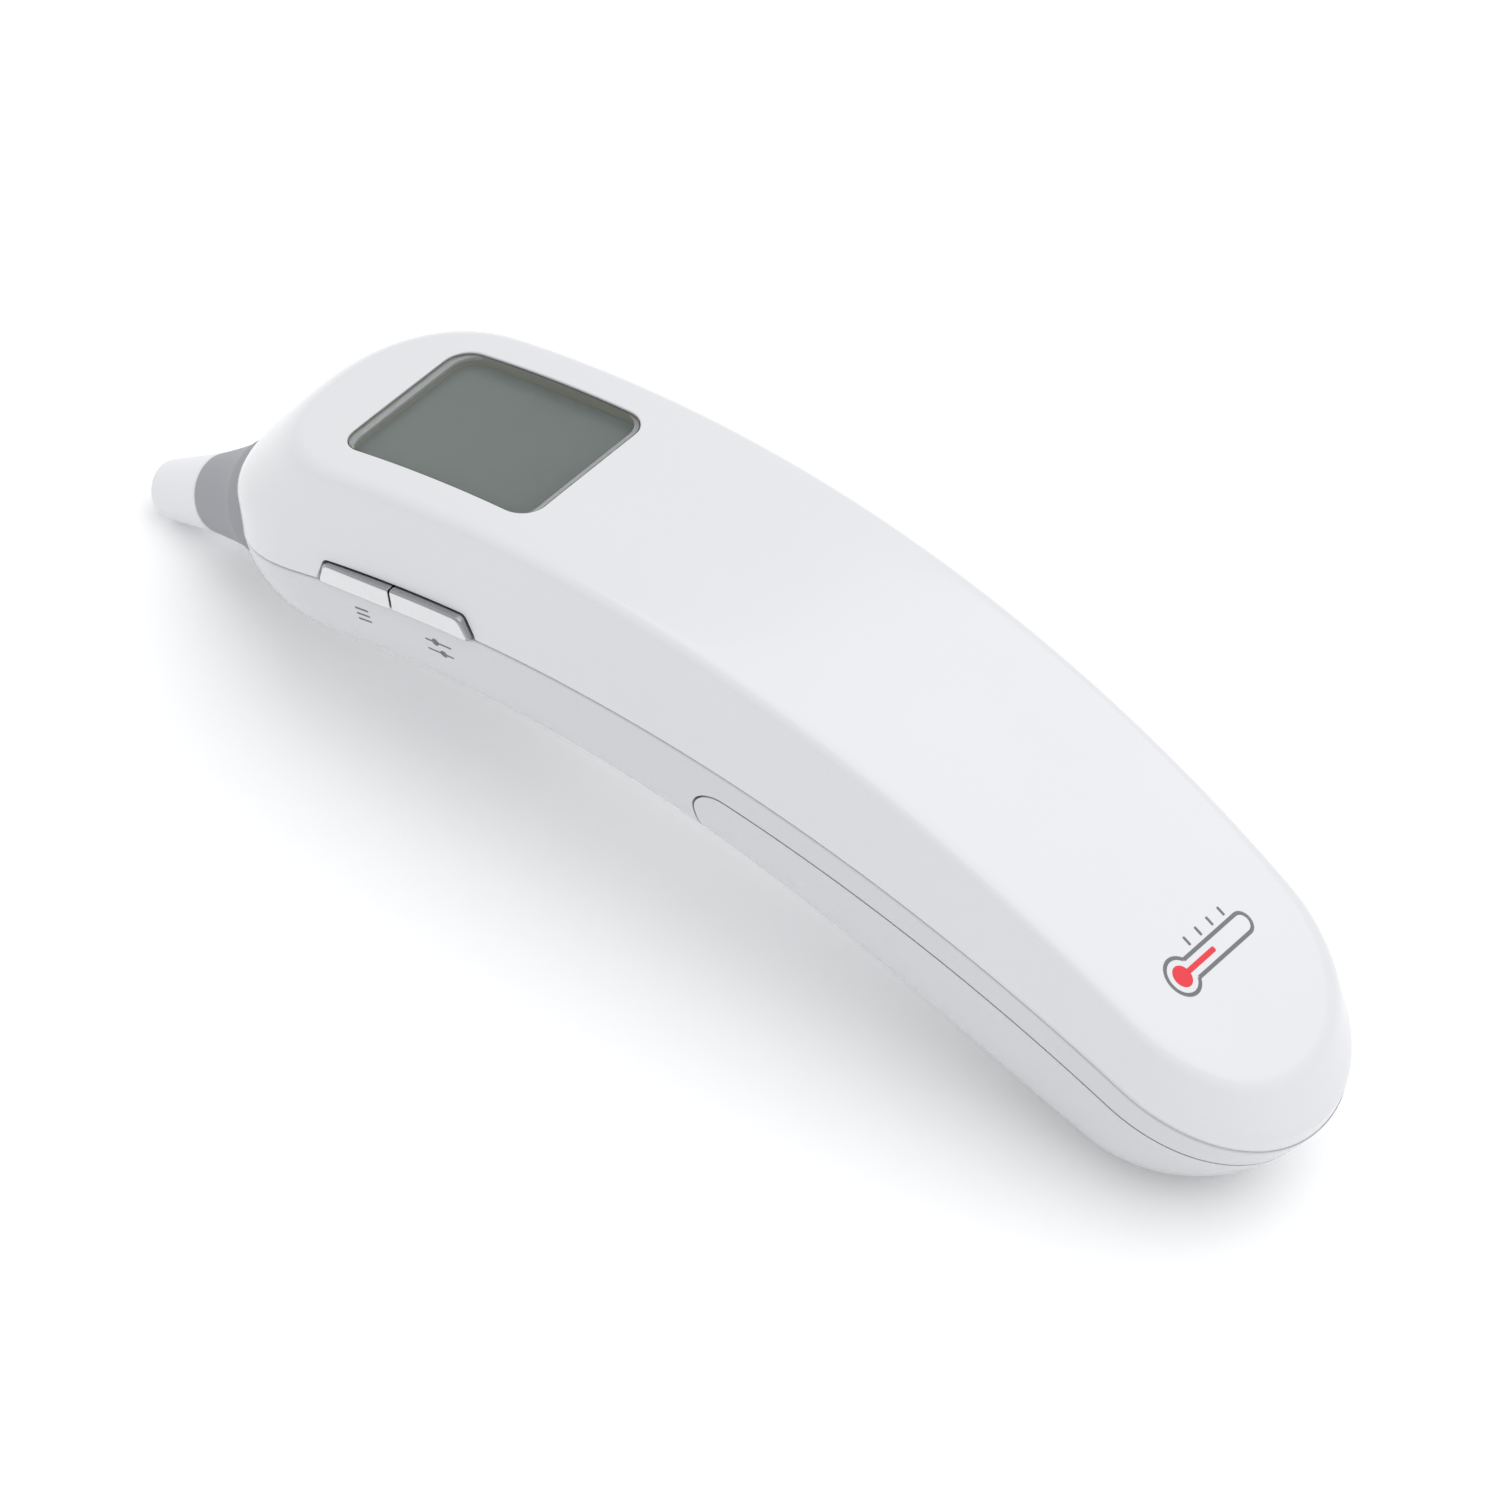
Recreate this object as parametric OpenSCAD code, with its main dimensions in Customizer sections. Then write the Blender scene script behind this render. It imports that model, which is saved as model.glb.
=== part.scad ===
// Handheld infrared ear thermometer.
// An arched two-part case rests on its tail and on the mouth of its probe. The case is a stack of rings
// that share one plan outline, bent round an arc. The head holds the display stack, the board, two side
// keys and the trigger; the tail holds two AAA cells under a cover that slides off along the arc.
// +X runs from the probe to the tail, the side keys face -Y and +Z is up. Millimetres.

/* [Case] */
// Length of the case along its parting line
case_length = 137.3; // [130:0.1:150]
// Radius of the arc that the parting line follows
arc_radius = 152; // [140:1:180]
// Backward tilt of the head end
head_tilt = 23.8; // [22:0.1:26]
// Half of the width at the head
half_width = 15.6; // [15:0.1:19]
// How much narrower each side is at the tail
tail_taper = 2.3; // [1:0.1:3]
// Height of the top edge over the parting line, at the nose
top_h_nose = 12.3; // [12:0.1:15]
// Height of the top edge over the parting line, half way along
top_h_mid = 11.7; // [11:0.1:14]
// Height of the top edge over the parting line, at the tail
top_h_tail = 4.9; // [4.5:0.1:8]
// Rise of the crowned top face over its edge
crown = 0.55; // [0.2:0.05:0.8]
// Depth of the case under the parting line, at the nose
depth_nose = 9.9; // [9.5:0.1:12]
// Depth a quarter of the way along
depth_quarter = 13.1; // [12.8:0.1:15]
// Depth half way along
depth_mid = 15.6; // [15.4:0.1:18]
// Depth at the battery bulge, three quarters of the way along
depth_bulge = 18.4; // [18:0.1:21]
// Depth at the tail
depth_tail = 14.6; // [14:0.1:17]
// Wall of the case
wall = 1.8; // [1.5:0.1:2]
// Open seam between the two halves of the case
seam = 0.12; // [0.05:0.01:0.2]
// Depth of the flat that the tail rests on
rest_cut = 0.35; // [0.25:0.05:0.4]

/* [Outline] */
// Length of the rounded nose, at the parting line
nose_round = 15.7; // [14:0.1:19]
// Squareness of the nose
nose_power = 2.3; // [2:0.1:2.6]
// Length of the rounded tail
tail_round = 15.9; // [14:0.1:19]
// Squareness of the tail
tail_power = 2.06; // [1.9:0.02:2.3]
// Inset of the shoulder line from the parting outline
shoulder_inset = 0.62; // [0.4:0.02:1]
// Height of the shoulder line, as a share of the top edge's height
shoulder_share = 0.46; // [0.4:0.01:0.55]
// Inset of the top edge, along the sides
edge_inset = 1.25; // [1:0.05:1.8]
// Inset of the top edge, at the nose
edge_nose = 9.9; // [8.5:0.1:11]
// Inset of the top edge, at the tail
edge_tail = 4.5; // [3.5:0.1:6]
// Inset of the underside, along the sides and at the tail
belly_inset = 10.3; // [9:0.1:10.5]
// Inset of the underside, at the nose
belly_nose = 11.8; // [10:0.1:13]
// Squareness of the underside
belly_power = 2.24; // [2.1:0.02:2.5]

/* [Battery cover] */
// Where the cover starts, along the parting line
cover_start = 67.2; // [65:0.1:68]
// Distance of the cover's seam under the parting line
cover_drop = 3.4; // [3:0.1:4]
// Radius of the cover's front corners
cover_corner = 4; // [3:0.5:5]
// Gap round the cover
cover_gap = 0.25; // [0.2:0.01:0.35]
// Width of the tongue that hooks the cover's front edge
tongue_w = 4.4; // [3.6:0.2:4.6]

/* [Display] */
// Where the middle of the window is, along the parting line
window_at = 30.7; // [30:0.1:31.5]
// Length of the window
window_l = 23.4; // [21:0.1:23.5]
// Width of the window
window_w = 19.2; // [17:0.1:19.2]
// Radius of the window's corners
window_r = 2.6; // [2:0.1:3.5]
// Gap round the lens
lens_gap = 0.08; // [0.05:0.01:0.15]
// Thickness of the lens
lens_t = 1.75; // [1.7:0.05:1.85]
// How far the lens sits under the top edge
lens_drop = 0.55; // [0.4:0.05:0.8]

/* [Side keys] */
// Where the memory key starts, along the parting line
keys_from = 18.4; // [18:0.1:19.5]
// Length of each key
key_l = 10.4; // [9.5:0.1:11]
// Height of a key
key_h = 2.4; // [2.3:0.1:3.3]
// Gap between and round the keys
key_gap = 0.2; // [0.15:0.01:0.25]
// How far a key stands out of the case
key_proud = 0.75; // [0.5:0.05:1]
// Travel of a key
key_travel = 0.5; // [0.3:0.05:0.6]

/* [Trigger] */
// Where the middle of the trigger is, along the parting line
trigger_at = 27; // [26:0.5:29]
// Length of the trigger
trigger_l = 15; // [13:0.5:17]
// Width of the trigger
trigger_w = 9.4; // [8.5:0.1:10]
// How far the trigger stands out of the underside
trigger_proud = 0.9; // [0.6:0.1:1.2]
// Travel of the trigger
trigger_travel = 0.8; // [0.5:0.1:0.9]

/* [Probe] */
// Downward tilt of the probe
probe_tilt = 28.9; // [28:0.1:30]
// Where the probe's foot is, along the parting line
probe_at = -2.8; // [-3.5:0.1:-2]
// Height of the probe's foot over the parting line
probe_n = -4; // [-4.5:0.1:-3.5]
// Radius of the collar where it meets the nose
collar_r = 6.35; // [6:0.05:6.8]
// Radius where the collar meets the tip
neck_r = 4.2; // [4:0.05:4.5]
// Radius of the tip's mouth end
mouth_r = 3.2; // [3:0.05:3.4]
// Distance from the foot to the end of the collar's spigot in the nose
spigot_l = 13; // [12:0.5:13.5]
// Distance from the foot to the neck
neck_at = 9.2; // [8.5:0.1:10]
// Distance from the foot to the mouth
mouth_at = 17.6; // [17:0.1:18.5]
// Bore of the probe
probe_bore = 2.5; // [2.3:0.05:2.6]
// Outer radius of the wave guide
guide_r = 1.7; // [1.5:0.05:1.8]

/* [Cells] */
// Diameter of an AAA cell
cell_d = 10.5; // [10.2:0.1:10.5]
// Length of an AAA cell, with its button
cell_l = 44.5; // [43.5:0.1:44.5]
// Where the middle of the cells is, along the parting line
cells_at = 99; // [98.5:0.1:99.5]
// Height of the cells' axes over the inside of the cover
cells_n = 8.81; // [8.7:0.01:8.9]
// Gap between a cell and its neighbours
cell_gap = 0.15; // [0.1:0.01:0.2]
// Wall of the battery tray
tray_wall = 0.8; // [0.7:0.05:0.9]

/* [Board] */
// Where the middle of the board is, along the parting line
board_at = 35; // [34.5:0.5:35.5]
// Length of the board
board_l = 44; // [43.5:0.5:45]
// Width of the board
board_w = 21; // [20:0.5:22]
// Thickness of the board
board_t = 1.2; // [1:0.1:1.6]
// Height of the board's underside over the parting line
board_n = 3.4; // [3.2:0.1:3.6]

/* [Hidden] */

fine = 64;                      // segments of a round surface
arc_fn = 360;                   // segments of the big arcs
nose_steps = 9;                 // points round each nose corner
side_steps = 26;                // points along each side
tail_steps = 11;                // points round each tail corner
ring_size = 2 * (nose_steps + side_steps + tail_steps);
taper_start = 0.35;             // share of the length after which the sides draw in
far = 300;                      // larger than the whole object
least_round = 3;                // smallest end radius of an inset ring

// --- rules of the case ---------------------------------------------------------------------------------
function turn(s) = s / arc_radius * 180 / PI - head_tilt;
function share(s) = s / case_length;
function half_w(s) = half_width
    - tail_taper * pow(max(0, share(s) - taper_start) / (1 - taper_start), 2);
function top_h(s) = let (u = share(s)) top_h_nose * (1 - u) * (1 - 2 * u)
    + top_h_mid * 4 * u * (1 - u) + top_h_tail * u * (2 * u - 1);

depths = [depth_nose, depth_quarter, depth_mid, depth_bulge, depth_tail];
function basis(i, v, j = 0) = j > 4 ? 1 : (j == i ? 1 : (v - j) / (i - j)) * basis(i, v, j + 1);
function depth(s) = let (v = 4 * share(s)) [for (i = [0:4]) depths[i] * basis(i, v)] * [1, 1, 1, 1, 1];

// A ring is [height share, side inset, nose inset, tail inset, nose round].
upper_keys = [
    [0, 0, 0, 0, nose_round],
    [shoulder_share, shoulder_inset, 0.7, shoulder_inset, nose_round - 0.5],
    [1, edge_inset, edge_nose, edge_tail, nose_round - 2.3],
    [1, edge_inset + 4, edge_nose + 4, edge_tail + 4, nose_round - 5.3]];
upper_stops = [0, 0.9, 1.1, 1.9, 2.1, 2.5, 3];
lower_stops = [1, 0.86, 0.72, 0.56, 0.4, 0.2];
function upper_ring(x) = let (i = min(floor(x), 2), t = x - i)
    upper_keys[i] * (1 - t) + upper_keys[i + 1] * t;
function lower_ring(v) = let (f = 1 - pow(cos(90 * v), 2 / belly_power))
    [-pow(sin(90 * v), 2 / belly_power), belly_inset * f, belly_nose * f, belly_inset * f,
        nose_round - 0.6 * belly_nose * f];

// One side of a ring as [distance along, share of the half width].
function side_of(r, e) = let (
        nose = max(least_round, r[4] - 0.7 * e), tail = max(least_round, tail_round - r[1] - e),
        s0 = r[2] + e, s3 = case_length - r[3] - e, s1 = s0 + nose, s2 = s3 - tail)
    concat(
        [for (i = [0:nose_steps - 1]) let (a = 90 * i / nose_steps)
            [s0 + nose * (1 - pow(cos(a), 2 / nose_power)), pow(sin(a), 2 / nose_power)]],
        [for (i = [0:side_steps - 1]) [s1 + (s2 - s1) * i / side_steps, 1]],
        [for (i = [0:tail_steps]) let (a = 90 * i / tail_steps)
            [s2 + tail * pow(sin(a), 2 / tail_power), pow(max(0, cos(a)), 2 / tail_power)]]);

// Points of a ring that is inset by e, relative to the arc's centre.
function ring_points(r, e, over) = let (side = side_of(r, e), last = len(side) - 1)
    [for (i = [0:ring_size - 1]) let (
            p = side[i <= last ? i : 2 * last - i], hand = i <= last ? -1 : 1,
            y = hand * max(0, half_w(p[0]) - r[1] - e) * p[1],
            n = r[0] < 0 ? r[0] * (depth(p[0]) - e)
                : r[0] * (top_h(p[0]) - e) + over * crown * (1 - pow(y / (half_width - edge_inset), 2)),
            a = turn(p[0]))
        [(arc_radius + n) * sin(a), y, (arc_radius + n) * cos(a)]];
function skin_points(e) = concat(
    [for (v = lower_stops) each ring_points(lower_ring(v), e, 0)],
    [for (x = upper_stops) each ring_points(upper_ring(x), e, x > 2 ? 1 : 0)]);

levels = len(lower_stops) + len(upper_stops);
half_ring = ring_size / 2;
function mirror_of(i) = (ring_size - i) % ring_size;
skin_faces = concat(
    [for (j = [0:levels - 2], i = [0:ring_size - 1])
        let (a = j * ring_size + i, b = j * ring_size + (i + 1) % ring_size, up = ring_size)
        each [[a, b + up, b], [a, a + up, b + up]]],
    [for (i = [0:half_ring - 1]) let (t = (levels - 1) * ring_size, m = mirror_of(i), w = mirror_of(i + 1))
        each [
            [i, i + 1, w], [i, w, m],
            [t + i, t + w, t + i + 1], [t + i, t + m, t + w]]]);

// The origin is under the middle of the object, where it touches the table.
outer = skin_points(0);
probe_turn = turn(probe_at);
foot_x = (arc_radius + probe_n) * sin(probe_turn);
foot_z = (arc_radius + probe_n) * cos(probe_turn);
tip_x = foot_x - mouth_at * cos(probe_tilt) - (mouth_r - 0.4) * sin(probe_tilt);
arc_x = -(tip_x + max([for (p = outer) p[0]])) / 2;
arc_z = -min([for (p = outer) p[2]]) - rest_cut;

// Heights over the parting line inside the head
lens_top = top_h(window_at) - lens_drop;
lens_bottom = lens_top - lens_t;
flange_t = 0.7;
panel_t = 1.8;
panel_top = lens_bottom - flange_t - 0.05;
panel_bottom = panel_top - panel_t;
light_t = 1.1;
light_bottom = panel_bottom - light_t;
board_top = board_n + board_t;
panel_l = window_l + 2.2;
panel_w = window_w + 1.4;
frame_wall = 0.7;
slack = 0.1;                    // gap between stacked pieces

tray_l = cell_l + 5;            // inside of the tray
tray_n = depth(cells_at) - wall - cells_n;
tray_fit = 0.05;                // gap between the tray and the inside of the case
tray_roof = cell_d / 2 + cell_gap + tray_wall;
tray_half = cell_d + cell_gap * 1.5 + tray_wall;
ledge_t = 1.4;
screw_r = 1;
screw_y = 6.9;
screw_s = cover_start + 2.3;
ledge_rise = 4.28;              // height of the screw ledge over the inside of the cover
ledge_n = wall + ledge_rise - depth(screw_s);
board_x = board_at - window_at; // the board is parallel to the window
board_screw_r = 0.8;
board_screw_x = [-board_l / 2 + 1.7, board_l / 2 - 2.6];
tray_screw_x = 15;
tray_screw_r = 0.8;
tray_screw_head = 4.7;          // height of the screws' head plane over the cells' axes
tray_lead_y = 3.4;              // where the leads leave the tray

switch_proud = 1.1;             // reach of the side switches past the board
switch_h = 6;                   // height of the trigger's switch under the board
trigger_lean = atan((depth(trigger_at + 5) - depth(trigger_at - 5)) / 10);
key_flange = 0.7;

seal_wire = 0.4;                // radius of the seal's cord
seal_at_r = collar_r - seal_wire + 0.05;
probe_fit = 0.08;               // gap between the collar and the case
seal_back = 1.5;                // distance of the seal from the end of the spigot

// --- helpers -------------------------------------------------------------------------------------------
module on_arc(s, n = 0) {
    translate([arc_x, 0, arc_z]) rotate([0, turn(s), 0]) translate([0, 0, arc_radius + n]) children();
}
module on_probe(along = 0) {
    translate([arc_x + foot_x, 0, arc_z + foot_z]) rotate([0, -90 - probe_tilt, 0])
        translate([0, 0, along]) children();
}
module on_board() { on_arc(window_at) translate([board_x, 0, 0]) children(); }
module on_tray() { on_arc(cells_at, -tray_n) children(); }
module on_trigger() {
    on_arc(trigger_at, -depth(trigger_at)) rotate([0, trigger_lean, 0]) children();
}
module skin(e) {
    translate([arc_x, 0, arc_z]) polyhedron(skin_points(e), skin_faces, convexity = 6);
}
module under_arc(n) {
    translate([arc_x, 0, arc_z]) rotate([90, 0, 0])
        cylinder(r = arc_radius + n, h = 4 * half_width, center = true, $fn = arc_fn);
}
// Everything between two places along the arc
module between(s0, s1) {
    translate([arc_x, 0, arc_z]) rotate([90, 0, 0]) linear_extrude(4 * half_width, center = true)
        polygon([[0, 0], far * [sin(turn(s0)), cos(turn(s0))], far * [sin(turn(s1)), cos(turn(s1))]]);
}
module rounded(l, w, r) {
    square([l - 2 * r, w], center = true);
    square([l, w - 2 * r], center = true);
    for (x = [-1, 1], y = [-1, 1]) translate([x * (l / 2 - r), y * (w / 2 - r)]) circle(r, $fn = fine);
}
module slab(l, w, r, n0, n1) {
    translate([0, 0, n0]) linear_extrude(n1 - n0) rounded(l, w, r);
}
module box(x0, x1, y0, y1, z0, z1) {
    translate([x0, y0, z0]) cube([x1 - x0, y1 - y0, z1 - z0]);
}
module cover_zone(grow) {
    a = turn(cover_start);
    translate([arc_x, 0, arc_z]) rotate([90, 0, 0]) linear_extrude(4 * half_width, center = true)
        offset(delta = grow) offset(r = cover_corner, $fn = fine) offset(delta = -cover_corner)
            intersection() {
                circle(arc_radius - cover_drop, $fn = arc_fn);
                polygon([[0, 0], far * [sin(a), cos(a)], [far, 0]]);
            }
}
// Side view of a key, its slanted ends towards the ends of the pair
module key_side(first, grow) {
    l = key_l;
    lean = 1.3;
    x0 = (first ? 0 : key_gap / 2) - grow;
    x1 = (first ? l - key_gap / 2 : l) + grow;
    polygon([
        [x0, -grow], [x1, -grow], [x1 - (first ? 0 : lean), key_h + grow],
        [x0 + (first ? lean : 0), key_h + grow]]);
}
// A tube swept along points, as one solid
module sweep(path, r, sides) {
    last = len(path) - 1;
    rings = [for (i = [0:last]) let (
            d = path[min(i + 1, last)] - path[max(i - 1, 0)], t = d / norm(d),
            u0 = cross(t, [0.13, 0.9, 0.41]), u = u0 / norm(u0), v = cross(t, u))
        each [for (k = [0:sides - 1]) let (a = 360 * k / sides) path[i] + r * (cos(a) * u + sin(a) * v)]];
    polyhedron(rings, concat(
        [[for (k = [0:sides - 1]) k]], [[for (k = [sides - 1:-1:0]) last * sides + k]],
        [for (i = [0:last - 1], k = [0:sides - 1]) let (
                a = i * sides + k, b = i * sides + (k + 1) % sides)
            each [[a, b + sides, b], [a, a + sides, b + sides]]]), convexity = 10);
}
function bezier(p, t) = pow(1 - t, 3) * p[0] + 3 * t * pow(1 - t, 2) * p[1]
    + 3 * t * t * (1 - t) * p[2] + pow(t, 3) * p[3];
function curve(p, steps) = [for (i = [0:steps]) bezier(p, i / steps)];
// A point of the frame that touches the arc at s, as a point of the object
function place(s, p) = let (a = turn(s), r = arc_radius + p[2])
    [arc_x + r * sin(a) + p[0] * cos(a), p[1], arc_z + r * cos(a) - p[0] * sin(a)];
module screw(head_r, head_h, r, l) {
    difference() {
        cylinder(r = head_r, h = head_h, $fn = fine);
        translate([0, 0, head_h]) {
            cube([0.45, 1.7, 1], center = true);
            cube([1.7, 0.45, 1], center = true);
        }
    }
    translate([0, 0, -l]) cylinder(r = r, h = l + 0.1, $fn = fine);
}

// --- case ----------------------------------------------------------------------------------------------
// Wall across the nose that grips the collar's spigot
module probe_wall() {
    intersection() {
        skin(wall * 0.6);
        on_probe(-spigot_l + 1.75) cube([far, far, 2.5], center = true);
    }
}
module probe_hole() {
    on_probe(-spigot_l - 1) cylinder(r = collar_r + probe_fit, h = 4 * spigot_l, $fn = fine);
}
// Posts that the screws of the board and the tray are driven into
module posts() {
    on_board() for (x = board_screw_x) translate([x, 0, board_top + 0.03])
        cylinder(r = 1.6, h = far / 10, $fn = 32);
    on_tray() for (end = [-1, 1]) translate([end * tray_screw_x, 0, tray_roof + 0.05])
        cylinder(r = 2, h = far / 10, $fn = 32);
    for (hand = [-1, 1]) on_arc(screw_s, ledge_n + 0.1) translate([0, hand * screw_y, 0])
        cylinder(r = 2, h = far / 10, $fn = 32);
}
module post_holes() {
    on_board() for (x = board_screw_x) translate([x, 0, 0])
        cylinder(r = board_screw_r + 0.02, h = board_n + 3.3, $fn = 32);
    on_tray() for (end = [-1, 1]) translate([end * tray_screw_x, 0, 0])
        cylinder(r = tray_screw_r + 0.02, h = tray_roof + 4, $fn = 32);
    for (hand = [-1, 1]) on_arc(screw_s, ledge_n) translate([0, hand * screw_y, -1])
        cylinder(r = screw_r + 0.02, h = 7, $fn = 32);
}
module ribs(s0, s1, count, n0, n1) {
    for (i = [0:count - 1], hand = [-1, 1]) let (s = s0 + (s1 - s0) * i / (count - 1)) hull() {
        on_arc(s, n0) translate([0, hand * half_width, 0]) cube([1, 5, 0.2], center = true);
        on_arc(s, n1) translate([0, hand * half_width, 0]) cube([1, 7, 0.2], center = true);
    }
}
module top_shell() {
    color("white") difference() {
        union() {
            difference() {
                skin(0);
                under_arc(seam / 2);
                skin(wall);
            }
            difference() {
                probe_wall();
                under_arc(seam / 2);
            }
            intersection() {
                skin(wall * 0.6);
                union() {
                    posts();
                    difference() {
                        ribs(50, 64, 4, 0.6, 8);
                        skin(wall + 1);
                    }
                }
            }
        }
        post_holes();
        on_arc(window_at) {
            slab(window_l, window_w, window_r, lens_bottom - 1, far / 10);
            slab(panel_l + 2 * slack, panel_w + 2 * slack, window_r, lens_bottom - flange_t - slack,
                lens_bottom + slack);
        }
        key_opening();
        probe_hole();
    }
}
module key_opening() {
    on_arc(keys_from + key_l) translate([-key_l, 0, seam / 2]) rotate([90, 0, 0])
        linear_extrude(2 * half_width) {
            translate([0, -1]) key_side(true, key_gap);
            key_side(true, key_gap);
            translate([key_l, 0]) key_side(false, key_gap);
            translate([key_l, -1]) key_side(false, key_gap);
        }
}
module bottom_shell() {
    color("whitesmoke") difference() {
        union() {
            difference() {
                intersection() {
                    skin(0);
                    under_arc(-seam / 2);
                }
                skin(wall);
                cover_zone(cover_gap / 2);
            }
            intersection() {
                probe_wall();
                under_arc(-seam / 2);
            }
            difference() {
                intersection() {
                    union() {
                        intersection() {
                            skin(wall * 0.6);
                            between(cover_start - 5, cover_start - cover_gap);
                        }
                        intersection() {
                            skin(wall + cover_gap + 0.2);
                            between(cover_start - 2, cover_start + 4.5);
                        }
                    }
                    under_arc(ledge_n);
                }
                under_arc(ledge_n - ledge_t);
                for (hand = [-1, 1]) on_arc(screw_s, ledge_n) translate([0, hand * screw_y, 0])
                    cylinder(r = screw_r + 0.25, h = 6, center = true, $fn = 32);
            }
            intersection() {
                skin(wall * 0.6);
                difference() {
                    ribs(8, 58, 6, -8, -0.6);
                    skin(wall + 0.8);
                    under_arc(-9);
                }
                under_arc(-seam / 2);
            }
        }
        on_trigger() slab(trigger_l, trigger_w, 3, -far / 10, wall + 2);
        probe_hole();
    }
}
module battery_cover() {
    color("white") difference() {
        union() {
            difference() {
                intersection() {
                    skin(0);
                    cover_zone(-cover_gap / 2);
                }
                skin(wall);
            }
            intersection() {
                difference() {
                    skin(wall - 0.3);
                    skin(wall + 1.6);
                }
                between(cover_start + cover_gap / 2 + 0.3, cover_start + 2.6);
                cube([far, tongue_w, far], center = true);
                under_arc(-cover_drop - 4);
            }
            intersection() {
                difference() {
                    skin(wall + 0.35);
                    skin(wall + 1.6);
                }
                between(cover_start - 3, cover_start + 2.6);
                cube([far, tongue_w, far], center = true);
                under_arc(-cover_drop - 4);
            }
            intersection() {
                difference() {
                    skin(wall - 0.3);
                    skin(wall + 0.9);
                }
                for (i = [0:7]) hull() {
                    on_arc(cover_start + 16 + 4 * i, -18) cube([1, 9 - i * 0.6, 8], center = true);
                    on_arc(cover_start + 16.6 + 4 * i, -18) cube([1, 9 - i * 0.6, 8], center = true);
                }
            }
        }
        translate([-far / 2, -far / 2, -far]) cube(far);
    }
}

// --- display stack -------------------------------------------------------------------------------------
module display_lens() {
    color([0.75, 0.8, 0.78, 0.4]) on_arc(window_at) {
        slab(window_l - 2 * lens_gap, window_w - 2 * lens_gap, window_r - lens_gap, lens_bottom, lens_top);
        slab(panel_l, panel_w, window_r, lens_bottom - flange_t, lens_bottom + 0.01);
    }
}
module lcd_panel() {
    color([0.45, 0.5, 0.47]) on_arc(window_at) slab(panel_l, panel_w, 0.8, panel_bottom, panel_top);
}
module backlight() {
    color("ivory") on_arc(window_at) box(-panel_l / 2 + 0.6, panel_l / 2 - 3.6, -panel_w / 2 + 0.5,
        panel_w / 2 - 0.5, light_bottom + slack, panel_bottom - slack);
}
module lcd_frame() {
    gap = 0.15;
    color("gainsboro") on_arc(window_at) difference() {
        slab(panel_l + 2 * (frame_wall + gap), panel_w + 2 * (frame_wall + gap), 1.6,
            board_top + slack, panel_top - 0.2);
        slab(panel_l + 2 * gap, panel_w + 2 * gap, 0.9, light_bottom, panel_top);
        slab(panel_l - 5.5, panel_w - 4, 0.9, board_top, panel_top);
        box(panel_l / 2 - 3.2, panel_l / 2 - 0.9, -panel_w / 2 + 1, panel_w / 2 - 1, board_top, panel_bottom);
    }
}
module zebra_strip() {
    color("dimgray") on_arc(window_at) box(panel_l / 2 - 2.9, panel_l / 2 - 1.2, -panel_w / 2 + 1.6,
        panel_w / 2 - 1.6, board_top + 0.03, panel_bottom - 0.03);
}

// --- board ---------------------------------------------------------------------------------------------
module main_board() {
    color("darkgreen") on_board() difference() {
        slab(board_l, board_w, 1, board_n, board_top);
        for (x = board_screw_x) translate([x, 0, board_n - 1])
            cylinder(r = board_screw_r + 0.2, h = 5, $fn = fine);
    }
}
module processor() {
    color([0.1, 0.1, 0.1]) on_board() translate([2, 2, board_n]) {
        box(-3.5, 3.5, -3.5, 3.5, -1.3, -0.15);
        for (side = [0:3], i = [0:7]) rotate([0, 0, 90 * side]) translate([3.4, -2.8 + 0.8 * i, -0.35])
            cube([1, 0.3, 0.35]);
    }
}
module board_parts() {
    color("peru") on_board() for (i = [0:4]) {
        translate([7.5 + 2.2 * i, 5.5, board_n - 0.8]) cube([1.6, 0.8, 0.8]);
        translate([7.5 + 2.2 * i, 7.5, board_n - 0.8]) cube([1.6, 0.8, 0.8]);
    }
}
module buzzer() {
    color([0.15, 0.15, 0.15]) on_board() translate([13, -3, board_n - 2.6]) difference() {
        cylinder(r = 4.5, h = 2.6, $fn = fine);
        translate([0, 0, -1]) cylinder(r = 0.7, h = 2, $fn = fine);
    }
}
// A side switch: its body under the board's edge and its plunger towards the key
module side_switch(x) {
    face = board_w / 2 + switch_proud;
    end = half_width - wall - 0.5 - key_flange - key_travel - 0.15;
    on_board() translate([keys_from + key_l - board_at + x, 0, 0]) {
        box(-2.2, 2.2, -face, -face + 3.4, 0.6, board_n - 0.02);
        translate([0, -face + 0.1, 1.6]) rotate([90, 0, 0])
            cylinder(r = 0.7, h = end - face + 0.1, $fn = fine);
    }
}
module memory_switch() { color("silver") side_switch(-key_l / 2); }
module set_switch() { color("silver") side_switch(key_l / 2); }
module start_switch() {
    color("silver") on_board() translate([trigger_at - board_at, 0, board_n - switch_h]) {
        box(-3, 3, -3, 3, 2.4, switch_h - 0.05);
        cylinder(r = 1.7, h = 2.5, $fn = fine);
    }
}

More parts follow.
